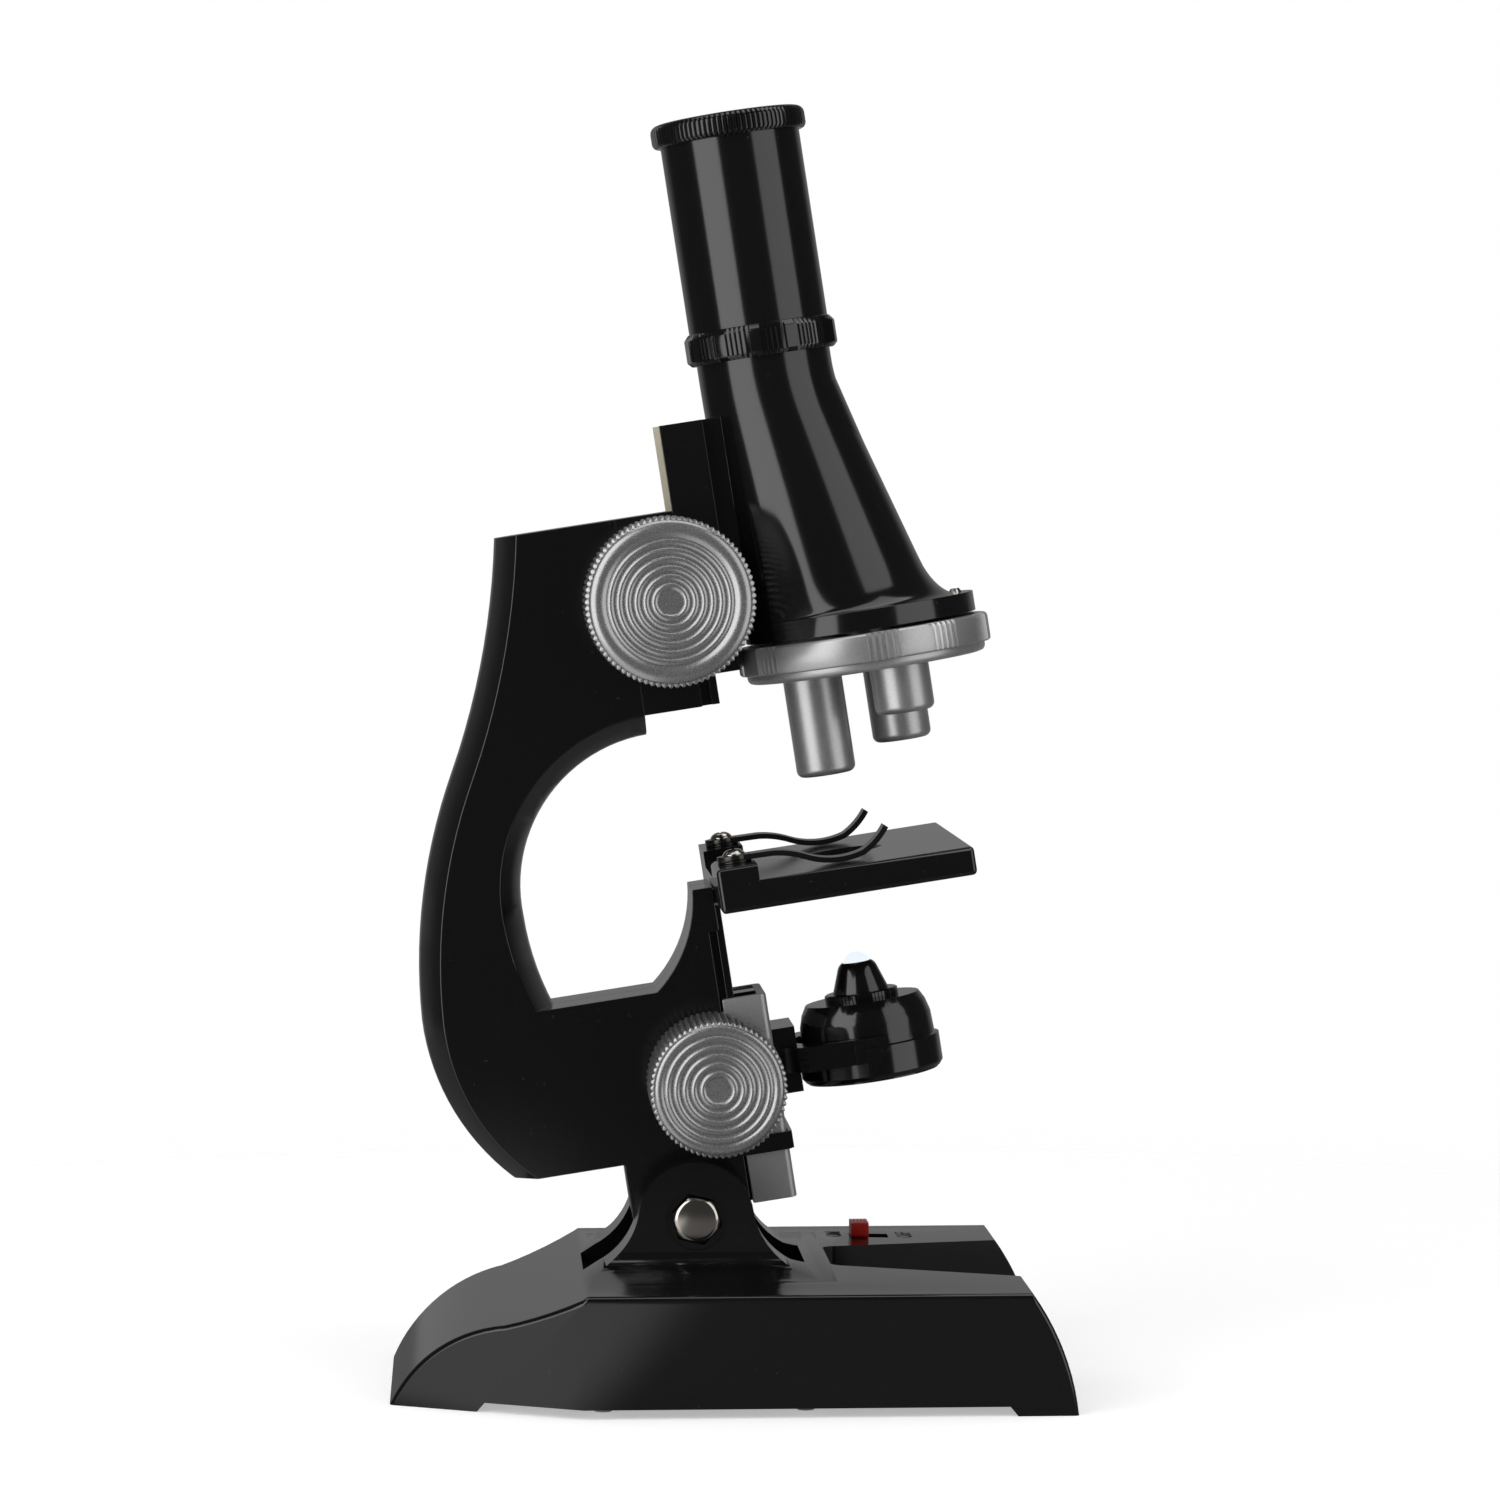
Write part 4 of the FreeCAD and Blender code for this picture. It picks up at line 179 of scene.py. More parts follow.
def grey(level: float) -> Colour:
    """Returns a neutral colour."""
    return (level, level, level, 1.0)


def toned(colour: Colour, factor: float, lift: float = 0.0) -> Colour:
    """Returns a colour darkened or lightened by a factor and a lift."""
    red, green, blue = (min(1.0, channel * factor + lift) for channel in colour[:3])
    return (red, green, blue, 1.0)


def new_material(name: str) -> tuple[bpy.types.Material, Shop]:
    """Makes an empty material and the shop for its graph."""
    material = bpy.data.materials.new(name)
    material.use_nodes = True
    return material, Shop(material.node_tree)


@dataclass(frozen=True)
class Look:
    """A finish: its own name, its slot in the record and its colour."""

    name: str
    slot: str
    colour: Colour

    def sockets(self, shop: Shop) -> dict:
        """Returns what feeds the surface."""
        raise NotImplementedError

    def material(self) -> bpy.types.Material:
        """Builds the material."""
        material, shop = new_material(self.name)
        surface = shop.add("ShaderNodeBsdfPrincipled", self.sockets(shop))
        shop.add("ShaderNodeOutputMaterial", {"Surface": surface})
        return material


@dataclass(frozen=True)
class Moulded(Look):
    """Injection-moulded plastic: a faint orange peel, uneven gloss and fine dust."""

    roughness: float
    unevenness: float = 0.03
    blotch_mm: float = 14.0
    flow_mm: float = 3.0
    peel_mm: float = 2.6
    peel_depth_mm: float = 0.003
    grain_mm: float = 0.12
    grain_share: float = 0.02
    dust: float = 0.25
    dust_mm: float = 0.8
    dust_lift: float = 0.07
    subsurface: float = 0.0
    ior: float = 1.6

    def sockets(self, shop: Shop) -> dict:
        """Returns what feeds the surface."""
        blotch = shop.noise(self.blotch_mm, 3.0)
        flow = shop.noise(self.flow_mm, 4.0, (1.0, 1.0, 0.25))
        peel = shop.noise(self.peel_mm, 2.0)
        grain = shop.noise(self.grain_mm, 1.0)
        speck = shop.noise(self.dust_mm, 5.0).above(0.69, 0.76) * self.dust
        roughness = self.roughness + (blotch - 0.5) * self.unevenness
        roughness = roughness + (flow - 0.5) * (self.unevenness * 0.6) + speck * 0.25
        return {
            "Base Color": shop.blend(speck, self.colour, toned(self.colour, 1.0, self.dust_lift)),
            "Roughness": roughness,
            "Normal": shop.bump(peel + grain * self.grain_share, self.peel_depth_mm),
            "IOR": self.ior,
            "Subsurface Weight": self.subsurface,
            "Subsurface Scale": 0.002,
        }


@dataclass(frozen=True)
class SilverPaint(Look):
    """Silver paint on plastic: fine flakes under a satin lacquer, in a slightly cloudy coat."""

    slot: str = "silver_paint"
    colour: Colour = (0.37, 0.37, 0.37, 1.0)
    roughness: float = 0.28
    metallic: float = 0.78
    flake_mm: float = 0.14
    cloud_mm: float = 6.0
    cloud_share: float = 0.4

    def sockets(self, shop: Shop) -> dict:
        """Returns what feeds the surface."""
        cell = {"Vector": shop.place(), "Scale": 1 / (self.flake_mm * MM)}
        flake = shop.add("ShaderNodeTexVoronoi", cell, output="Color")
        spark = shop.add("ShaderNodeSeparateColor", {"Color": flake})
        cloud = shop.noise(self.cloud_mm, 3.0)
        tone = spark * (1 - self.cloud_share) + cloud * self.cloud_share
        return {
            "Base Color": shop.blend(tone, toned(self.colour, 0.84), toned(self.colour, 1.14)),
            "Metallic": self.metallic,
            "Roughness": self.roughness + (spark - 0.5) * 0.06 + (cloud - 0.5) * 0.05,
            "Normal": shop.bump(spark, 0.003, 0.4),
            "Coat Weight": 0.15,
            "Coat Roughness": 0.25,
        }


@dataclass(frozen=True)
class Metal(Look):
    """Plated or bare metal with fine brushing and a few handling marks."""

    roughness: float
    brush: Sequence[float] = (1.0, 1.0, 0.04)
    brush_mm: float = 0.08
    mark_mm: float = 1.3

    def sockets(self, shop: Shop) -> dict:
        """Returns what feeds the surface."""
        lines = shop.noise(self.brush_mm, 2.0, self.brush)
        marks = shop.noise(self.mark_mm, 6.0).above(0.6, 0.72)
        return {
            "Base Color": shop.blend(marks * 0.5, self.colour, toned(self.colour, 0.7)),
            "Metallic": 1.0,
            "Roughness": self.roughness + (lines - 0.5) * 0.10 + marks * 0.10,
            "Normal": shop.bump(lines, 0.002, 0.4),
        }


@dataclass(frozen=True)
class Clear(Look):
    """Clear moulded resin or glass."""

    roughness: float = 0.04
    haze_mm: float = 1.6

    def sockets(self, shop: Shop) -> dict:
        """Returns what feeds the surface."""
        haze = shop.noise(self.haze_mm, 3.0)
        return {
            "Base Color": shop.blend(haze, self.colour, toned(self.colour, 0.93)),
            "Roughness": self.roughness + (haze - 0.5) * 0.04,
            "Transmission Weight": 1.0,
        }


@dataclass(frozen=True)
class Glow(Look):
    """A lit diode: an even bluish white light."""

    shade: Colour
    haze_mm: float = 0.7

    def sockets(self, shop: Shop) -> dict:
        """Returns what feeds the surface."""
        haze = shop.noise(self.haze_mm, 2.0)
        return {
            "Base Color": shop.blend(haze, grey(0.05), grey(0.08)),
            "Roughness": 0.3 + haze * 0.1,
            "Specular IOR Level": 0.2,
            "Emission Color": shop.blend(haze, self.colour, self.shade),
            "Emission Strength": 1.0,
        }


# the letters' black: darker than the moulding, it paints the shade inside engraved letters
LETTER_PAINTED_SHADE = (0.002, 0.002, 0.002, 1.0)
SOOT = (0.007, 0.007, 0.007, 1.0)
CHARCOAL = (0.009, 0.009, 0.0095, 1.0)
JET = (0.0048, 0.0047, 0.0052, 1.0)
SIGNAL_RED = (0.42, 0.012, 0.005, 1.0)
BONE = (0.62, 0.57, 0.44, 1.0)
SLATE = (0.05, 0.055, 0.06, 1.0)
PALE_SILVER = (0.44, 0.44, 0.442, 1.0)
MID_SILVER = (0.40, 0.40, 0.405, 1.0)


class Finish(Enum):
    """The finishes of this microscope."""

    BLACK = Moulded("black_gloss_moulding", "black_gloss", JET, 0.13)
    SATIN = Moulded("black_satin_moulding", "black_satin", CHARCOAL, 0.30, dust=0.35)
    CLIP = Moulded("black_spring_paint", "black_satin", SOOT, 0.24, peel_mm=0.8)
    # painted shade: the letters' darker black stands for the shade in engraved letters; their high
    # roughness gives them a matte face
    MARK = Moulded("letter_black_painted_shade", "black_satin", LETTER_PAINTED_SHADE, 0.7, dust=0.05)
    IVORY = Moulded("ivory_rack_plastic", "ivory_plastic", BONE, 0.38, dust=0.2)
    RED = Moulded("red_switch_plastic", "red_plastic", SIGNAL_RED, 0.3, dust=0.1, subsurface=0.25)
    SILVER = SilverPaint("silver_flake_paint")
    TURRET_SILVER = SilverPaint("turret_flake_paint", "silver_paint", PALE_SILVER, 0.34, 0.72)
    DULL_SILVER = SilverPaint("slide_flake_paint", "silver_paint", MID_SILVER, 0.4, 0.55)
    NICKEL = Metal("nickel_plate", "nickel", (0.60, 0.56, 0.51, 1.0), 0.15)
    STEEL = Metal("plain_steel", "steel", (0.52, 0.52, 0.53, 1.0), 0.30)
    JACKET = Moulded("plain_cell_jacket", "battery_jacket", SLATE, 0.25, peel_mm=6.0)
    GLASS = Clear("lens_glass", "clear_lens", (0.95, 0.97, 0.98, 1.0))
    LED = Glow("lit_diode", "white_led", (0.86, 0.93, 0.99, 1.0), (0.80, 0.88, 0.99, 1.0))
    MIRROR = Metal("mirror_face", "mirror", (0.88, 0.89, 0.9, 1.0), 0.02, (1.0, 1.0, 1.0))

    def coat(self, piece: bpy.types.Object) -> None:
        """Gives a piece this finish all over."""
        name = self.value.name
        material = bpy.data.materials.get(name) or self.value.material()
        piece.data.materials.clear()
        piece.data.materials.append(material)


# --- spaces


def joint(name: str) -> dict:
    """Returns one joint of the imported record."""
    return next(entry for entry in frame["joints"] if entry["name"] == name)


class Space(Enum):
    """The ground's space, and the arm's: origin on the hinge bolt, Z up the optical axis."""

    GROUND = "ground"
    ARM = "arm"

    def matrix(self) -> Matrix:
        """Returns the matrix from this space, in millimetres, to the world, in metres."""
        if self is Space.GROUND:
            return Matrix.Scale(MM, 4)
        up = Vector(joint("focus_slide")["axis"]).normalized()
        across = Vector((0, 1, 0))
        forward = across.cross(up)
        turn = Matrix((forward, across, up)).transposed().to_4x4()
        return Matrix.Translation(joint("arm_tilt")["pos_m"]) @ turn @ Matrix.Scale(MM, 4)

    def find(self, name: str) -> Vector:
        """Returns a joint's place in this space, in millimetres."""
        return self.matrix().inverted() @ Vector(joint(name)["pos_m"])


# --- modelling by hand


def choose(*pieces: bpy.types.Object) -> None:
    """Selects these objects alone and makes the first of them active."""
    bpy.ops.object.select_all(action="DESELECT")
    for piece in pieces:
        piece.select_set(True)
    bpy.context.view_layer.objects.active = pieces[0]


class Axis(Enum):
    """Which way a turned or extruded piece's axis runs."""

    UP = (0, 0, 1)
    ACROSS = (0, 1, 0)


class Bench:
    """One mesh piece on the bench, modelled in millimetres in its space."""

    def __init__(self, name: str, space: Space = Space.ARM) -> None:
        """Starts a piece from a single vertex at the space's origin."""
        self.name = name
        self.space = space
        self.axis = Axis.UP
        if bpy.context.mode != "OBJECT":
            self.leave()
        bpy.ops.object.select_all(action="DESELECT")
        bpy.ops.mesh.primitive_plane_add(size=1.0)
        self.piece = bpy.context.object
        self.piece.name = name
        self.edit()
        self.everything()
        bpy.ops.mesh.merge(type="CENTER")

    def edit(self) -> None:
        """Enters edit mode."""
        bpy.ops.object.mode_set(mode="EDIT")

    def leave(self) -> None:
        """Leaves edit mode."""
        bpy.ops.object.mode_set(mode="OBJECT")

    def trace(self, points: Sequence[Vector]) -> "Bench":
        """Draws a chain of edges through the points, from the piece's single vertex."""
        bpy.ops.transform.translate(value=points[0])
        for start, end in zip(points, points[1:]):
            step = end - start
            bpy.ops.mesh.extrude_region_move(TRANSFORM_OT_translate={"value": step})
        return self

    def everything(self) -> None:
        """Selects every vertex."""
        bpy.ops.mesh.select_mode(type="VERT")
        bpy.ops.mesh.select_all(action="SELECT")

    def pick(self, wanted: Callable, kind: str = "FACE") -> None:
        """Selects faces or vertices.

        Args:
            wanted: tells of a face, or of a vertex's place, whether it counts.
            kind: FACE or VERT.
        """
        bpy.ops.mesh.select_mode(type=kind)
        bpy.ops.mesh.select_all(action="DESELECT")
        self.leave()
        if kind == "FACE":
            for face in self.piece.data.polygons:
                face.select = wanted(face)
        else:
            for vertex in self.piece.data.vertices:
                vertex.select = wanted(vertex.co)
        self.edit()

    def clean(self) -> "Bench":
        """Merges doubles and turns every face outwards."""
        self.everything()
        bpy.ops.mesh.remove_doubles(threshold=WELD)
        bpy.ops.mesh.normals_make_consistent(inside=False)
        return self

    def modify(self, kind: str, **settings: object) -> "Bench":
        """Adds one modifier and applies it."""
        self.leave()
        modifier = self.piece.modifiers.new(kind.lower(), kind)
        for name, value in settings.items():
            setattr(modifier, name, value)
        bpy.context.view_layer.objects.active = self.piece
        bpy.ops.object.modifier_apply(modifier=modifier.name)
        self.edit()
        return self

    def soften(self, width: float, segments: int, angle: float) -> "Bench":
        """Rounds every edge sharper than an angle, in degrees."""
        return self.modify(
            "BEVEL",
            width=width,
            segments=segments,
            limit_method="ANGLE",
            angle_limit=math.radians(angle),
            harden_normals=False,
            miter_outer="MITER_ARC",
        )

    def round_picked(self, width: float) -> "Bench":
        """Rounds the selected edges by a width, whatever lies close to them."""
        bpy.ops.mesh.bevel(offset=width, segments=4, affect="EDGES", clamp_overlap=False)
        return self

    def round_between(self, width: float, area: float) -> "Bench":
        """Rounds the sharp edges between two large faces.

        Args:
            width: the width of the rounding, in millimetres.
            area: how large both faces are at least, in square millimetres.

        Returns:
            The piece on the bench, in edit mode.
        """
        bpy.ops.mesh.select_mode(type="EDGE")
        bpy.ops.mesh.select_all(action="DESELECT")
        self.leave()
        mesh = self.piece.data
        beside: dict[tuple[int, int], list[Vector]] = {}
        for face in mesh.polygons:
            if face.area > area:
                for key in face.edge_keys:
                    beside.setdefault(key, []).append(face.normal)
        for edge in mesh.edges:
            normals = beside.get(tuple(sorted(edge.vertices)), [])
            edge.select = len(normals) == 2 and normals[0].angle(normals[1]) > 1.0
        self.edit()
        return self.round_picked(width)

    def carve(self, tool: "Bench", operation: str = "DIFFERENCE") -> "Bench":
        """Cuts this piece with another, which is used up.

        Args:
            tool: the cutting piece, on its own bench.
            operation: DIFFERENCE or INTERSECT.

        Returns:
            This piece, in edit mode.
        """
        tool.leave()
        self.modify("BOOLEAN", operation=operation, object=tool.piece, solver="EXACT")
        self.leave()
        bpy.data.objects.remove(tool.piece)
        choose(self.piece)
        self.edit()
        return self.clean()

    def flute(
        self,
        centre: Vector,
        radius: float,
        depth: float,
        share: Callable[[float], float],
        levels: Sequence[float],
    ) -> "Bench":
        """Draws the outside of a turned piece in, into flutes or grooves along its axis.

        Args:
            centre: a point on the axis.
            radius: vertices at least this far from the axis are moved.
            depth: how deep a flute is.
            share: the share of the depth at an angle round the axis, in degrees.
            levels: the shares that are cut.

        Returns:
            The piece on the bench, in edit mode.
        """
        across = self.axis is Axis.ACROSS
        for level in levels:

            def wanted(point: Vector, level: float = level) -> bool:
                """Picks the rim's vertices that go in by this level."""
                side = point.z - centre.z if across else point.y - centre.y
                if math.hypot(point.x - centre.x, side) < radius:
                    return False
                angle = math.degrees(math.atan2(side, point.x - centre.x))
                return abs(share(angle) - level) < 0.05

            self.pick(wanted, "VERT")
            factor = 1 - depth * level / radius
            sizes = (factor, 1, factor) if across else (factor, factor, 1)
            bpy.ops.transform.resize(value=sizes, center_override=centre)
        return self

    def done(self, finish: Finish, angle: float = 32.0, weighted: bool = False) -> bpy.types.Object:
        """Sets the piece in its place and gives it its finish.

        Args:
            finish: the finish all over the piece.
            angle: edges sharper than this many degrees stay crisp.
            weighted: whether large flat faces keep their own shading up to their rounded edges.

        Returns:
            The finished object, at the world's origin.
        """
        self.leave()
        choose(self.piece)
        self.piece.matrix_world = self.space.matrix() @ self.piece.matrix_world
        bpy.ops.object.transform_apply(location=True, rotation=True, scale=True)
        bpy.ops.object.shade_smooth_by_angle(angle=math.radians(angle))
        if weighted:
            even = self.piece.modifiers.new("even", "WEIGHTED_NORMAL")
            even.keep_sharp = True
            even.weight = 50
            bpy.ops.object.modifier_apply(modifier=even.name)
        finish.coat(self.piece)
        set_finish(self.piece, finish.value.slot)
        return self.piece


def turned(
    name: str,
    profile: Curve,
    centre: Sequence[float],
    axis: Axis = Axis.UP,
    steps: int = 96,
    space: Space = Space.ARM,
) -> Bench:
    """Turns a closed or axis-to-axis profile.

    Args:
        name: the piece's name.
        profile: points of radius and height along the axis.
        centre: the point on the axis that heights count from.
        axis: the direction of the axis.
        steps: how many facets go round.
        space: the space of the piece.

    Returns:
        The piece on the bench, in edit mode.
    """
    middle = Vector(centre)
    along = Vector(axis.value)
    points = [middle + Vector((radius, 0, 0)) + along * height for radius, height in profile]
    bench = Bench(name, space)
    bench.axis = axis
    bench.trace(points)
    bpy.ops.mesh.select_all(action="SELECT")
    bpy.ops.mesh.spin(steps=steps, angle=TURN, center=middle, axis=along, use_auto_merge=True)
    return bench.clean()


def lofted(name: str, rings: Sequence[tuple[float, float, float]], steps: int = 128) -> Bench:
    """Draws a circle through rings of centre forwards, level and radius.

    Args:
        name: the piece's name.
        rings: the circles in order; the last one lies on the first to close the wall.
        steps: how many facets go round.

    Returns:
        The piece on the bench, in edit mode.
    """
    bench = Bench(name, Space.ARM)
    bpy.ops.mesh.delete(type="VERT")
    forward, level, radius = rings[0]
    bpy.ops.mesh.primitive_circle_add(vertices=steps, radius=radius, location=(forward, 0, level))
    for following in rings[1:]:
        step = Vector((following[0] - forward, 0, following[1] - level))
        bpy.ops.mesh.extrude_region_move(TRANSFORM_OT_translate={"value": step})
        share = following[2] / radius
        forward, level, radius = following
        bpy.ops.transform.resize(value=(share, share, 1), center_override=(forward, 0, level))
    return bench.clean()


def turned_round(piece: bpy.types.Object, name: str, centre: Vector) -> bpy.types.Object:
    """Copies a finished piece half a turn round an upright line of the arm.

    Args:
        piece: the finished piece.
        name: the copy's name.
        centre: a point on the line, in the arm's space.

    Returns:
        The copy, with its own mesh.
    """
    choose(piece)
    bpy.ops.object.duplicate()
    copy = bpy.context.object
    copy.name = name
    place = Space.ARM.matrix()
    shift = Matrix.Translation(centre)
    half = shift @ Matrix.Rotation(math.pi, 4, "Z") @ shift.inverted()
    copy.data.transform(place @ half @ place.inverted())
    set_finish(copy, piece["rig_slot"])
    return copy


def arc(centre: Point, radius: float, start: float, end: float, count: int) -> list[Point]:
    """Returns points along an arc, with its angles in degrees."""
    points = []
    for index in range(count + 1):
        angle = math.radians(start + (end - start) * index / count)
        points.append((centre[0] + radius * math.cos(angle), centre[1] + radius * math.sin(angle)))
    return points


def stepped(start: float, end: float, count: int, crowding: float = 1.0) -> list[float]:
    """Returns levels from a start, left out, to an end, near which they may crowd."""
    shares = [(1 - index / count) ** crowding for index in range(1, count + 1)]
    return [end + (start - end) * share for share in shares]


def ribbed(count: int, shoulder: float) -> Callable[[float], float]:
    """Returns the flutes of a rim with this many ribs, and how deep their shoulders lie."""
    shares = (0.0, shoulder, 1.0, shoulder)
    step = 360 / (count * RIB_STEPS)
    return lambda angle: shares[round(angle / step) % RIB_STEPS]


def grooved(centres: Sequence[float], count: int, pitch: float) -> Callable[[float], float]:
    """Returns groups of flat grooves with narrow pointed ridges between them.

    Args:
        centres: the angle of the middle of each group, in degrees.
        count: how many grooves a group has.
        pitch: the angle from one groove to the next.

    Returns:
        The share of the depth at an angle.
    """

    def share(angle: float) -> float:
        """Rises to 1 within one step from a ridge."""
        turns = [(angle - centre + 180) % 360 - 180 for centre in centres]
        offset = min(turns, key=abs)
        if abs(offset) > pitch * (count / 2 + 0.05):
            return 0.0
        place = (offset / pitch + count / 2) % 1
        return min(1.0, round(RIB_STEPS * min(place, 1 - place), 3))

    return share


def slab(
    name: str,
    outline: Curve,
    low: float,
    high: float,
    normal: Axis = Axis.ACROSS,
    space: Space = Space.ARM,
) -> Bench:
    """Extrudes an outline.

    Args:
        name: the piece's name.
        outline: points forwards and up for a slab that runs across, or forwards and across for one
            that runs up.
        low: where the slab starts along its normal.
        high: where it ends.
        normal: the direction in which it is extruded.
        space: the space of the piece.

    Returns:
        The piece on the bench, in edit mode.
    """
    bench = Bench(name, space)
    if normal is Axis.ACROSS:
        points = [Vector((x, low, z)) for x, z in outline]
    else:
        points = [Vector((x, y, low)) for x, y in outline]
    bench.trace(points)
    bpy.ops.mesh.select_all(action="SELECT")
    bpy.ops.mesh.edge_face_add()
    step = Vector(normal.value) * (high - low)
    bpy.ops.mesh.extrude_region_move(TRANSFORM_OT_translate={"value": step})
    return bench.clean()


def cad_copy(name: str, node: str) -> Bench:
    """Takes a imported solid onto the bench.

    Args:
        name: the new piece's name.
        node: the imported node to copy.

    Returns:
        The piece on the bench, in edit mode, in the ground's space.
    """
    bench = Bench(name, Space.GROUND)
    bench.leave()
    bench.piece.data = frame["nodes"][node].data.copy()
    bench.piece.data.transform(Matrix.Scale(1 / MM, 4))
    bench.piece.name = name
    bench.edit()
    bench.everything()
    bpy.ops.mesh.remove_doubles(threshold=CAD_WELD)
    bpy.ops.mesh.customdata_custom_splitnormals_clear()
    bench.everything()
    bpy.ops.mesh.dissolve_limited(angle_limit=math.radians(CAD_FLATNESS))
    return bench


def joined(name: str, pieces: Sequence[bpy.types.Object]) -> bpy.types.Object:
    """Joins finished pieces into the first of them."""
    choose(*pieces)
    bpy.ops.object.join()
    pieces[0].name = name
    return pieces[0]


def settle(piece: bpy.types.Object, body: str, *nodes: str) -> None:
    """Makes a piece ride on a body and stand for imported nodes."""
    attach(piece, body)
    if nodes:
        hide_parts(*nodes)
    LOG.info("%s rides on %s", piece.name, body)


def coat_nodes(finish: Finish, *nodes: str) -> None:
    """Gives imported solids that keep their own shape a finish."""
    for node in nodes:
        finish.coat(frame["nodes"][node])


@dataclass(frozen=True)
class Rounded:
    """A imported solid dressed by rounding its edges; over the crease angle they stay crisp."""

    name: str
    node: str
    body: str
    finish: Finish
    width: float
    segments: int = 2
    crease: float = 40.0
    weighted: bool = True

    def build(self) -> None:
        """Rounds the edges and sets the piece in its place."""
        bench = cad_copy(self.name, self.node).soften(self.width, self.segments, CAD_CREASE)
        settle(bench.done(self.finish, self.crease, self.weighted), self.body, self.node)


# --- sub-assemblies


@dataclass
class Base:
    """The moulded base with its bolt, switch, marks and battery bay.

    The crown's curve gives radii and how far each lies behind the bolt's face.
    """

    edge: float = 0.8
    side_reach: float = 30.0
    foot_height: float = 1.7
    foot_reach: float = 56.5
    bolt_forward: float = -5.4
    bolt_level: float = 30.1
    bolt_across: float = 7.3
    bolt_turn: float = 47.0
    bolt_face: float = 20.8
    bolt_seat: float = 16.6
    bolt_edge: float = 0.12
    crown_curve: Curve = (
        (0.0, 0.0), (3.05, 0.0), (3.35, 0.06), (3.62, 0.2), (3.85, 0.42), (4.05, 0.75),
        (4.2, 1.2),
    )
    shank_radius: float = 2.5
    shank_end: float = 19.6
    mark_side: float = 27.5
    mark_places: Sequence[tuple[str, float]] = (("ON", 21.2), ("OFF", 33.8))
    mark_size: float = 4.0
    mark_depth: float = 0.3
    mark_proud: float = 0.03
    above_all: float = 60.0

    def build(self) -> None:
        """Builds every piece of the base."""
        self.housing()
        self.bolt()
        self.marks()
        coat_nodes(Finish.SATIN, "bottom_cover", "battery_door", "switch_body")
        coat_nodes(Finish.JACKET, "battery_cell_front", "battery_cell_rear")
        coat_nodes(Finish.STEEL, "battery_contacts", "cover_screws")
        coat_nodes(Finish.NICKEL, "hinge_nut")
        button = "switch_button"
        Rounded(button + "_dressed", button, "switch", Finish.RED, 0.12, weighted=False).build()

    def housing(self) -> None:
        """The moulded shell: its sides run into the slopes and the top in a rounded edge."""
        bench = cad_copy("base_moulding", "base_housing")

        def side(face: bpy.types.MeshPolygon) -> bool:
            """Picks the large upright faces of the two sides."""
            outwards = face.normal.y * math.copysign(1, face.center.y)
            upright = abs(face.normal.z) < 0.05 and outwards > 0.8
            return upright and abs(face.center.y) > self.side_reach

        bench.pick(side)
        bpy.ops.mesh.region_to_loop()
        bench.leave()
        mesh = bench.piece.data
        for edge in mesh.edges:
            middle = sum((mesh.vertices[end].co for end in edge.vertices), Vector()) / 2
            if middle.z < self.foot_height and abs(middle.x) < self.foot_reach:
                edge.select = False
        bench.edit()
        bench.round_picked(self.edge)
        settle(bench.done(Finish.BLACK, 40.0, weighted=True), "base", "base_housing")

    def bolt(self) -> None:
        """The hinge bolt: a hexagon with a turned, rounded crown, and its shank."""
        corner = self.bolt_across / 2 / math.cos(math.pi / 6)
        middle = (self.bolt_forward, self.bolt_level)
        hexagon = arc(middle, corner, self.bolt_turn, self.bolt_turn + 300, 5)
        face, seat, end = -self.bolt_face, -self.bolt_seat, self.shank_end
        bench = slab("hinge_bolt_head", hexagon, face - 0.5, seat, space=Space.GROUND)
        crown = [(radius, face + drop) for radius, drop in self.crown_curve]
        crown += [(4.4, seat + 1), (0.0, seat + 1)]
        centre = (self.bolt_forward, 0, self.bolt_level)
        tool = turned("crown_tool", crown, centre, Axis.ACROSS, 96, Space.GROUND)
        bench.carve(tool, "INTERSECT").soften(self.bolt_edge, 2, 24)
        head = bench.done(Finish.NICKEL, 30.0, weighted=True)
        radius = self.shank_radius
        shank = [(0.0, seat - 0.2), (radius, seat - 0.2), (radius, end - 0.4)]
        shank += [(radius - 0.4, end), (0.0, end)]
        rod = turned("bolt_shank", shank, centre, Axis.ACROSS, 48, Space.GROUND)
        pieces = [head, rod.done(Finish.NICKEL)]
        settle(joined("hinge_bolt_dressed", pieces), "base", "hinge_bolt")

    def marks(self) -> None:
        """The two plain words beside the switch, set into the top, in a darker black that is painted
        shade for engraved letters.
        """
        for text, forward in self.mark_places:
            above = Vector((forward, self.mark_side, self.above_all)) * MM
            graph = bpy.context.evaluated_depsgraph_get()
            level = bpy.context.scene.ray_cast(graph, above, Vector((0, 0, -1)))[1].z / MM
            bpy.ops.object.select_all(action="DESELECT")
            bpy.ops.object.text_add(rotation=(0, 0, math.pi / 2))
            word = bpy.context.object
            word.data.body = text
            word.data.size = self.mark_size
            word.data.extrude = self.mark_depth
            word.data.align_x = "CENTER"
            word.data.align_y = "CENTER"
            bpy.ops.object.convert(target="MESH")
            bpy.ops.object.transform_apply(location=True, rotation=True, scale=True)
            bench = Bench("switch_mark_" + text.lower(), Space.GROUND)
            bench.leave()
            bench.piece.data = word.data.copy()
            bpy.data.objects.remove(word)
            lift = level + self.mark_proud - self.mark_depth
            bench.piece.data.transform(Matrix.Translation((forward, self.mark_side, lift)))
            bench.edit()
            # the letters' darker black is painted shade for engraved letters; their tops stand just
            # proud of the moulding
            settle(bench.clean().done(Finish.MARK, 20.0), "base")


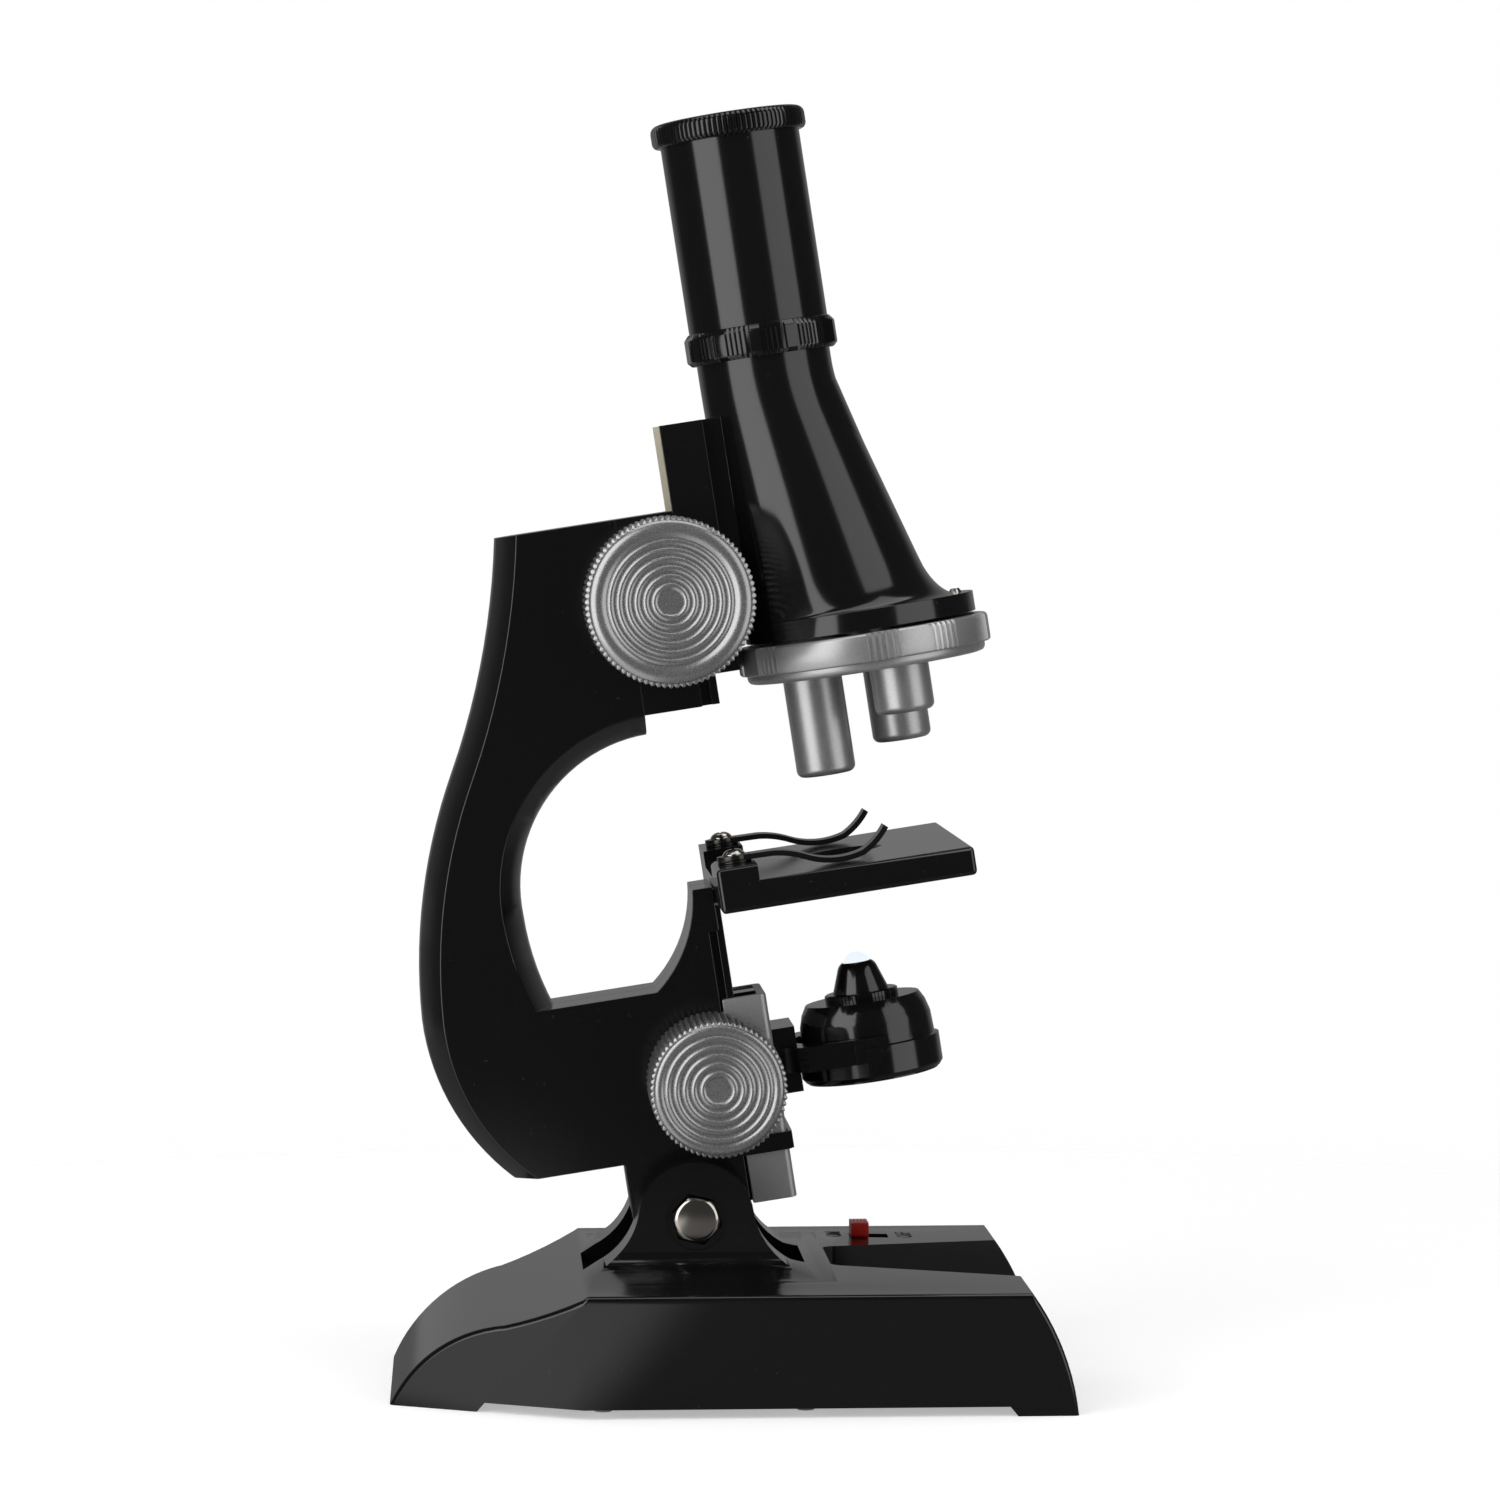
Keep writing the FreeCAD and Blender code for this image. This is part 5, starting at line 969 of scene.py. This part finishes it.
@dataclass
class Arm:
    """The arm's shells, focusing head, stage, strap and screws."""

    edge: float = 0.45
    shell_edge: float = 0.25
    washer_edge: float = 0.12
    stage_edge: float = 0.8
    stage_face: float = 60.0
    screw_forward: float = 15.6
    screw_side: float = 22.4
    screw_seat: float = 60.45
    screw_profile: Curve = (
        (0.0, 1.0), (0.5, 0.98), (0.95, 0.9), (1.35, 0.72), (1.65, 0.47), (1.9, 0.12),
        (1.9, 0.0), (1.2, 0.0), (1.2, -4.3), (1.0, -4.5), (0.0, -4.5),
    )
    cross_half: float = 0.24
    cross_reach: float = 1.15
    cross_foot: float = 0.5

    def build(self) -> None:
        """Builds every piece of the arm."""
        for side in ("near", "far"):
            names = ("arm_%s_moulding" % side, "arm_%s_shell" % side)
            Rounded(*names, "arm", Finish.BLACK, self.shell_edge, crease=30.0).build()
        bench = cad_copy("stage_moulding", "stage_plate")
        bench.round_between(self.stage_edge, self.stage_face)
        settle(bench.done(Finish.BLACK, 40.0, weighted=True), "arm", "stage_plate")
        Rounded("head_moulding", "focus_head", "arm", Finish.BLACK, self.edge, 3).build()
        coat_nodes(Finish.BLACK, "slide_strap")
        bench = cad_copy("clip_washers_dressed", "clip_washers")
        bench.soften(self.washer_edge, 2, CAD_CREASE)
        settle(bench.done(Finish.CLIP), "arm", "clip_washers")
        self.clip_screws()
        coat_nodes(Finish.STEEL, "arm_screws")

    def clip_screws(self) -> None:
        """Two pan-head screws with a cross recess."""
        pieces = []
        for name, side in (("near", -self.screw_side), ("far", self.screw_side)):
            centre = Vector((self.screw_forward, side, self.screw_seat))
            bench = turned("clip_screw_" + name, self.screw_profile, centre, Axis.UP, 48)
            reach, half = self.cross_reach, self.cross_half
            for long, wide in ((reach, half), (half, reach)):
                outline = [(long, wide), (-long, wide), (-long, -wide), (long, -wide)]
                outline = [(centre.x + x, centre.y + y) for x, y in outline]
                foot = centre.z + self.cross_foot
                bench.carve(slab("cross_tool", outline, foot, foot + 1, Axis.UP))
            pieces.append(bench.done(Finish.NICKEL, 35.0))
        settle(joined("clip_screws_dressed", pieces), "arm", "clip_screws")


@dataclass
class Carriage:
    """Body tube, racks, turret and eyepiece.

    The ring's curve gives insets from its radius and heights over its foot, the cap's radii and
    heights over its foot.
    """

    edge: float = 0.5
    proud: float = 0.04
    axis_forward: float = 34.6
    neck_radius: float = 11.5
    neck_foot: float = 136.8
    neck_blend: float = 4.0
    cone_foot: float = 101.0
    cone_run: float = 27.7
    foot_shift: float = 5.85
    foot_growth: float = 4.95
    skin_top: float = 142.6
    flange_level: float = 97.6
    flare_rise: float = 6.5
    flare_reach: float = 1.7
    flare_crowding: float = 1.6
    skin_wall: float = 1.2
    draw_radius: float = 12.0
    grooves: int = 5
    groove_depth: float = 0.4
    ring_foot: float = 142.7
    ring_height: float = 5.5
    ring_radius: float = 13.05
    ring_curve: Curve = (
        (0.75, 0.0), (0.1, 0.62), (0.0, 0.85), (0.0, 4.4), (0.1, 4.65), (0.75, 5.4), (0.9, 5.5),
    )
    ring_groups: int = 13
    group_steps: int = 28
    cap_foot: float = 180.4
    cap_curve: Curve = (
        (7.2, 2.6), (9.8, 4.15), (12.0, 4.0), (12.5, 3.86), (12.92, 3.6), (13.22, 3.2),
        (13.35, 2.7), (13.35, 0.95), (13.22, 0.5), (12.95, 0.16), (12.6, 0.0),
    )
    cap_rim: float = 12.9
    cap_ribs: int = 90
    cap_shoulder: float = 0.12
    disc_foot: float = 87.2
    disc_height: float = 6.5
    disc_radius: float = 20.7
    disc_steps: int = 480
    grip_radius: float = 21.85
    grip_centres: Sequence[float] = (-84.75, -54.75, -24.0)
    objective_circle: float = 9.65
    hole_radius: float = 4.2

    def build(self) -> None:
        """Builds every piece of the tube carriage."""
        Rounded("tube_moulding", "body_tube", "tube_carriage", Finish.BLACK, self.edge, 3).build()
        self.skin()
        self.ring_round_neck()
        self.cap()
        self.disc()
        coat_nodes(Finish.BLACK, "draw_tube")
        coat_nodes(Finish.GLASS, "eyepiece_lens", "objective_lenses")
        coat_nodes(Finish.TURRET_SILVER, "objective_long", "objective_medium", "objective_short")
        coat_nodes(Finish.IVORY, "focus_rack")
        coat_nodes(Finish.NICKEL, "turret_screw", "detent_screw")

    def ring(self, level: float, inwards: float = 0.0) -> tuple[float, float, float]:
        """Returns the tube's circle at a level: centre forwards, level and radius."""
        fall = self.neck_foot - level
        if fall <= -self.neck_blend:
            fall = 0.0
        elif fall < self.neck_blend:
            fall = (fall + self.neck_blend) ** 2 / (4 * self.neck_blend)
        share = fall / (self.neck_foot - self.cone_foot)
        rise = (level - self.flange_level) / self.flare_rise
        flare = 0.0
        if rise < 1:
            flare = self.flare_reach * (1 - math.sqrt(max(0.0, 1 - (1 - rise) ** 2)))
        forward = self.axis_forward + self.foot_shift * share + flare
        radius = self.neck_radius + self.foot_growth * share + flare + self.proud - inwards
        return (forward, level, radius)

    def skin(self) -> None:
        """The outside of the slanting tube: neck, cone and flange run into each other."""
        foot = self.flange_level + 0.01
        above, below = self.neck_foot + self.neck_blend, self.neck_foot - self.neck_blend
        levels = [self.skin_top, above] + stepped(above, below, 10)
        levels += stepped(below, below - self.cone_run, 6)
        levels += stepped(foot + self.flare_rise, foot, 9, self.flare_crowding)
        outside = [self.ring(level) for level in levels]
        levels = (foot, self.cone_foot, self.skin_top)
        inside = [self.ring(level, self.skin_wall) for level in levels]
        inside[0] = (inside[1][0], foot, inside[1][2])
        bench = lofted("tube_skin", outside + inside + [outside[0]])
        settle(bench.done(Finish.BLACK, 50.0), "tube_carriage")

    def ring_round_neck(self) -> None:
        """The ring between the neck and the draw tube, with groups of grooves round it."""
        foot, radius, draw = self.ring_foot, self.ring_radius, self.draw_radius
        neck, top = self.neck_radius + 0.06, foot + self.ring_height
        profile = [(neck, foot)]
        profile += [(radius - inset, foot + rise) for inset, rise in self.ring_curve]
        profile += [(draw, top), (draw, foot + 0.5), (neck, foot + 0.5)]
        centre = Vector((self.axis_forward, 0, 0))
        steps = self.ring_groups * self.group_steps
        bench = turned("tube_ring_dressed", profile + profile[:1], centre, steps=steps)
        centres = [360 / self.ring_groups * index for index in range(self.ring_groups)]
        flutes = grooved(centres, self.grooves, 360 * RIB_STEPS / steps)
        bench.flute(centre, radius - 0.3, self.groove_depth, flutes, (1.0,))
        settle(bench.done(Finish.BLACK), "eyepiece", "tube_ring")

    def cap(self) -> None:
        """The eyepiece cap, ribbed all round, with its edge rounded over."""
        foot, well = self.cap_foot, self.draw_radius - 1.4
        profile = [(radius, foot + rise) for radius, rise in self.cap_curve]
        profile += [(well, foot), (well, foot - 4), (well - 1.3, foot - 4), (well - 1.3, foot)]
        profile.append((profile[0][0], foot + 1.8))
        centre = Vector((self.axis_forward, 0, 0))
        steps = self.cap_ribs * RIB_STEPS
        bench = turned("eyepiece_cap_dressed", profile + profile[:1], centre, steps=steps)
        flutes = ribbed(self.cap_ribs, self.cap_shoulder)
        bench.flute(centre, self.cap_rim, self.groove_depth, flutes, (self.cap_shoulder, 1.0))
        settle(bench.done(Finish.BLACK), "eyepiece", "eyepiece_cap")

    def disc(self) -> None:
        """The turret disc: a grooved grip over a smaller rim, open over each objective."""
        foot, rim, grip = self.disc_foot, self.disc_radius, self.grip_radius
        top, bore, wall = foot + self.disc_height, self.hole_radius, grip - 2.2
        profile = [(bore, foot), (rim - 1, foot), (rim - 0.4, foot + 0.18)]
        profile += [(rim - 0.1, foot + 0.55), (rim, foot + 1), (rim, foot + 1.6)]
        profile += [(grip - 0.4, foot + 1.6), (grip - 0.14, foot + 1.74), (grip, foot + 2)]
        profile += [(grip, top - 0.8), (grip - 0.1, top - 0.36), (grip - 0.36, top - 0.1)]
        profile += [(grip - 0.8, top), (wall, top), (wall, foot + 2.6), (5.0, foot + 2.6)]
        profile += [(5.0, top), (2.56, top), (2.56, foot + 1.5), (bore, foot + 1.5)]
        centre = Space.ARM.find("turret_spin")
        centre.z = 0
        profile.append(profile[0])
        bench = turned("turret_disc_dressed", profile, centre, steps=self.disc_steps)
        thirds = [index / 3 for index in range(3)]
        centres = [angle + 360 * third for angle in self.grip_centres for third in thirds]
        flutes = grooved(centres, self.grooves, 360 * RIB_STEPS / self.disc_steps)
        bench.flute(centre, grip - 0.45, self.groove_depth, flutes, (1.0,))
        hole = [(0.0, foot - 1), (bore, foot - 1), (bore, foot + 3.6), (0.0, foot + 3.6)]
        for third in thirds:
            angle = math.pi + TURN * third
            reach = Vector((math.cos(angle), math.sin(angle), 0)) * self.objective_circle
            bench.carve(turned("hole_tool", hole, centre + reach, steps=48))
        settle(bench.done(Finish.TURRET_SILVER), "turret", "turret_disc")


@dataclass
class Clips:
    """The two spring clips."""

    edge: float = 0.2

    def build(self) -> None:
        """Builds the clips."""
        for side, body in (("near", "clip_left"), ("far", "clip_right")):
            node = "clip_" + side
            Rounded(node + "_dressed", node, body, Finish.CLIP, self.edge, crease=35.0).build()


@dataclass(frozen=True)
class KnobFace:
    """The sizes of one drive's knobs: ridged face, rounded rim and fluted edge."""

    drive: str
    forward: float
    level: float
    radius: float
    ridges: int
    rim_centre: float
    rim_half: float
    rim_curve: float
    ribs: int


@dataclass
class Knobs:
    """The knobs and shafts of the two drives; the edge curve gives insets and drops."""

    outer: float = 30.4
    inner: float = 11.0
    hub: float = 1.85
    first: float = 2.7
    pitch: float = 1.47
    crest_half: float = 0.62
    crest_rise: float = 0.36
    crest_steps: int = 3
    rim_steps: int = 5
    edge_curve: Curve = ((0.42, 0.35), (0.12, 0.5), (0.0, 0.75))
    bore: float = 2.0
    wall: float = 1.8
    well: float = 2.0
    plug: float = 4.0
    shoulder: float = 0.3
    flute_depth: float = 0.42
    faces: Sequence[KnobFace] = (
        KnobFace("focus", 11.4, 104.2, 14.4, 6, 12.1, 1.4, 2.2, 84),
        KnobFace("lamp", 6.85, 22.3, 11.6, 5, 10.0, 0.78, 1.15, 68),
    )

    def build(self) -> None:
        """Builds the knobs."""
        for face in self.faces:
            drive, centre = face.drive, Vector((face.forward, 0, face.level))
            profile = [(radius, -height) for radius, height in self.profile(face)]
            steps, flutes = face.ribs * RIB_STEPS, ribbed(face.ribs, self.shoulder)
            bench = turned(drive + "_knob_near_dressed", profile, centre, Axis.ACROSS, steps)
            bench.flute(centre, face.radius - 0.45, self.flute_depth, flutes, (self.shoulder, 1.0))
            near = bench.done(Finish.SILVER, 30.0)
            far = turned_round(near, drive + "_knob_far_dressed", centre)
            settle(near, drive + "_drive", drive + "_knob_near")
            settle(far, drive + "_drive", drive + "_knob_far")
            coat_nodes(Finish.STEEL, drive + "_pinion_shaft")

    def profile(self, face: KnobFace) -> list[Point]:
        """Returns a knob's profile from the middle of its face round to its bore."""
        sag = face.rim_curve - math.sqrt(face.rim_curve**2 - face.rim_half**2)
        valley = self.outer - sag
        points = [(0.0, valley), (self.hub, valley)]
        for ridge in range(face.ridges):
            crest = self.first + self.pitch * ridge
            for index in range(2 * self.crest_steps + 1):
                place = index / self.crest_steps - 1
                height = valley + self.crest_rise * (1 - place * place)
                points.append((crest + self.crest_half * place, height))
        for index in range(2 * self.rim_steps + 1):
            place = face.rim_half * (index / self.rim_steps - 1)
            height = self.outer - face.rim_curve + math.sqrt(face.rim_curve**2 - place**2)
            points.append((face.rim_centre + place, height))
        radius, inner, well = face.radius, self.inner, self.inner + self.well
        points.append((face.rim_centre + face.rim_half + 0.14, valley - 0.22))
        points += [(radius - inset, valley - drop) for inset, drop in self.edge_curve]
        points += [(radius, inner + 0.4), (radius - 0.4, inner), (radius - self.wall, inner)]
        points += [(radius - self.wall, well), (self.bore, well)]
        return points + [(self.bore, self.outer - self.plug), (0.0, self.outer - self.plug)]


@dataclass
class Lamp:
    """The slide, the yoke and the lamp."""

    axis_forward: float = 34.6
    collar_top: float = 32.1
    cone_top: float = 37.2
    cone_foot: float = 29.3
    cone_radius: float = 4.8
    diode_radius: float = 2.4
    top_curve: Curve = (
        (3.56, 1.5), (3.42, 1.05), (3.22, 0.66), (2.96, 0.33), (2.7, 0.1),
    )

    def build(self) -> None:
        """Builds the lamp and what carries it."""
        for part, finish, width, segments, body in (
            ("slide_channel", Finish.DULL_SILVER, 0.25, 2, "lamp_slide"),
            ("lamp_yoke", Finish.BLACK, 0.3, 3, "lamp_slide"),
            ("lamp_housing", Finish.BLACK, 0.3, 3, "lamp"),
        ):
            Rounded(part + "_dressed", part, body, finish, width, segments, 35.0).build()
        coat_nodes(Finish.BLACK, "lamp_rack", "lamp_collar", "mirror_ring")
        self.cone()
        coat_nodes(Finish.LED, "led")
        coat_nodes(Finish.MIRROR, "mirror")

    def cone(self) -> None:
        """The lamp's cone; its curve gives radii and how far each lies below the top."""
        bore = self.diode_radius + 0.03
        profile = [(bore, self.cone_foot), (self.cone_radius, self.cone_foot)]
        profile += [(self.cone_radius + 0.05, self.collar_top)]
        profile += [(radius, self.cone_top - drop) for radius, drop in self.top_curve]
        profile += [(bore, self.cone_top), profile[0]]
        bench = turned("lamp_cone_dressed", profile, (self.axis_forward, 0, 0))
        settle(bench.done(Finish.BLACK, 50.0), "lamp", "lamp_cone")


# --- studio


def area_light(name: str, width: float, tall: float, level: float) -> bpy.types.Object:
    """Makes a rectangular light whose face is equally bright at any size."""
    lamp = bpy.data.lights.new(name, "AREA")
    lamp.shape = "RECTANGLE"
    lamp.size = width
    lamp.size_y = tall
    lamp.energy = level * math.pi * width * tall
    light = bpy.data.objects.new(name, lamp)
    bpy.context.collection.objects.link(light)
    return light


@dataclass(frozen=True)
class Softbox:
    """A soft studio light that faces the microscope."""

    name: str
    bearing: float
    distance: float
    height: float
    width: float
    tall: float
    level: float
    target: Sequence[float] = (0, 0, 0.11)

    def build(self) -> None:
        """Hangs the light. The bearing counts in degrees from the camera's side towards +X."""
        angle = math.radians(self.bearing)
        light = area_light(self.name, self.width, self.tall, self.level)
        light.location = Vector((math.sin(angle), -math.cos(angle), 0)) * self.distance
        light.location.z = self.height
        facing = Vector(self.target) - light.location
        light.rotation_euler = facing.to_track_quat("-Z", "Y").to_euler()


@dataclass
class Studio:
    """Floor, white surroundings, softboxes and camera."""

    floor_size: float = 3.0
    paper: float = 0.8
    floor_glow: float = 0.42
    fade_start: float = 0.17
    fade_end: float = 0.42
    floor_mirrored: float = 0.12
    floor_left: float = 0.66
    pale_left: Point = (0.018, 0.036)
    pale_near: Point = (0.02, 0.04)
    wall_band: Point = (0.6, 0.9)
    wall_level: float = 0.22
    front_level: float = 0.04
    fill: float = 0.3
    top_size: Point = (1.1, 0.9)
    top_level: float = 1.5
    top_place: Sequence[float] = (0.0, 0.05, 1.15)
    camera_place: Sequence[float] = (-0.04387, -0.91096, 0.15121)
    camera_turn: float = 0.0533
    camera_dip: float = 0.0465
    focal_length: float = 127.1
    sensor_width: float = 36.0
    far_limit: float = 20.0
    boxes: list[Softbox] = field(
        default_factory=lambda: [
            Softbox("left_softbox", -45.5, 0.75, 0.20, 0.59, 1.3, 2.3),
            Softbox("right_softbox", 54.0, 0.75, 0.20, 0.575, 1.3, 1.25),
        ]
    )

    def build(self) -> None:
        """Builds the whole studio."""
        self.world()
        self.floor()
        self.top_light()
        for box in self.boxes:
            box.build()
        self.camera()

    def world(self) -> None:
        """White to the eye and through glass, a pale wall in reflections, and a soft fill."""
        world = bpy.data.worlds.new("studio_surroundings")
        bpy.context.scene.world = world
        world.use_nodes = True
        shop = Shop(world.node_tree)
        direction = shop.add("ShaderNodeTexCoord", output="Generated")
        forward = shop.add("ShaderNodeSeparateXYZ", {"Vector": direction}, output=1)
        wall = forward.above(*self.wall_band) * self.wall_level + self.front_level
        glossy, seen = shop.ray("Glossy"), shop.ray("Camera") + shop.ray("Transmission")
        level = seen + glossy * wall + (1 - seen - glossy) * self.fill
        surface = shop.add("ShaderNodeBackground", {"Color": grey(1.0), "Strength": level})
        shop.add("ShaderNodeOutputWorld", {"Surface": surface})

    def floor(self) -> None:
        """A pale floor that keeps the shadow and fades out into the white."""
        bpy.ops.object.select_all(action="DESELECT")
        bpy.ops.mesh.primitive_plane_add(size=self.floor_size)
        floor = bpy.context.object
        floor.name = "studio_floor"
        material, shop = new_material("studio_floor")
        place = shop.add("ShaderNodeTexCoord", output="Object")
        reach = shop.add("ShaderNodeVectorMath", {0: place}, {"operation": "LENGTH"}, "Value")
        paper = shop.add("ShaderNodeBsdfDiffuse", {"Color": grey(self.paper)})
        glow = shop.glow(shop.ray("Camera") * self.floor_glow)
        lit = shop.add("ShaderNodeAddShader", {0: paper, 1: glow})
        left, near = (
            (shop.add("ShaderNodeSeparateXYZ", {"Vector": place}, output=axis) * -1).above(*band)
            for axis, band in enumerate((self.pale_left, self.pale_near))
        )
        sheen = shop.glow(left * near * self.floor_left + self.floor_mirrored)
        lit = shop.add("ShaderNodeMixShader", {0: shop.ray("Glossy"), 1: lit, 2: sheen})
        clear = shop.add("ShaderNodeBsdfTransparent")
        fade = reach.above(self.fade_start, self.fade_end)
        surface = shop.add("ShaderNodeMixShader", {0: fade, 1: lit, 2: clear})
        shop.add("ShaderNodeOutputMaterial", {"Surface": surface})
        floor.data.materials.append(material)

    def top_light(self) -> None:
        """A broad soft light overhead."""
        area_light("top_softbox", *self.top_size, self.top_level).location = self.top_place

    def camera(self) -> None:
        """The camera at its place, turned a little to the right and down."""
        turn, dip = self.camera_turn, self.camera_dip
        ahead = Vector((math.sin(turn), math.cos(turn), 0))
        look = ahead * math.cos(dip) - Vector((0, 0, math.sin(dip)))
        right = Vector((math.cos(turn), -math.sin(turn), 0))
        up = right.cross(look)
        lens = bpy.data.cameras.new("studio_camera")
        lens.sensor_width = self.sensor_width
        lens.lens = self.focal_length
        lens.clip_end = self.far_limit
        camera = bpy.data.objects.new("studio_camera", lens)
        bpy.context.collection.objects.link(camera)
        basis = Matrix((right, up, -look)).transposed().to_4x4()
        camera.matrix_world = Matrix.Translation(self.camera_place) @ basis
        bpy.context.scene.camera = camera


def main() -> None:
    """Builds the microscope's pieces in order, then the studio."""
    logging.basicConfig(level=logging.INFO, format="%(name)s: %(message)s")
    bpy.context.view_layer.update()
    for assembly in (Base(), Arm(), Carriage(), Clips(), Knobs(), Lamp(), Studio()):
        assembly.build()
        LOG.info("built %s", type(assembly).__name__)
    bpy.context.scene.view_settings.view_transform = "Standard"


if __name__ == "__main__":
    main()
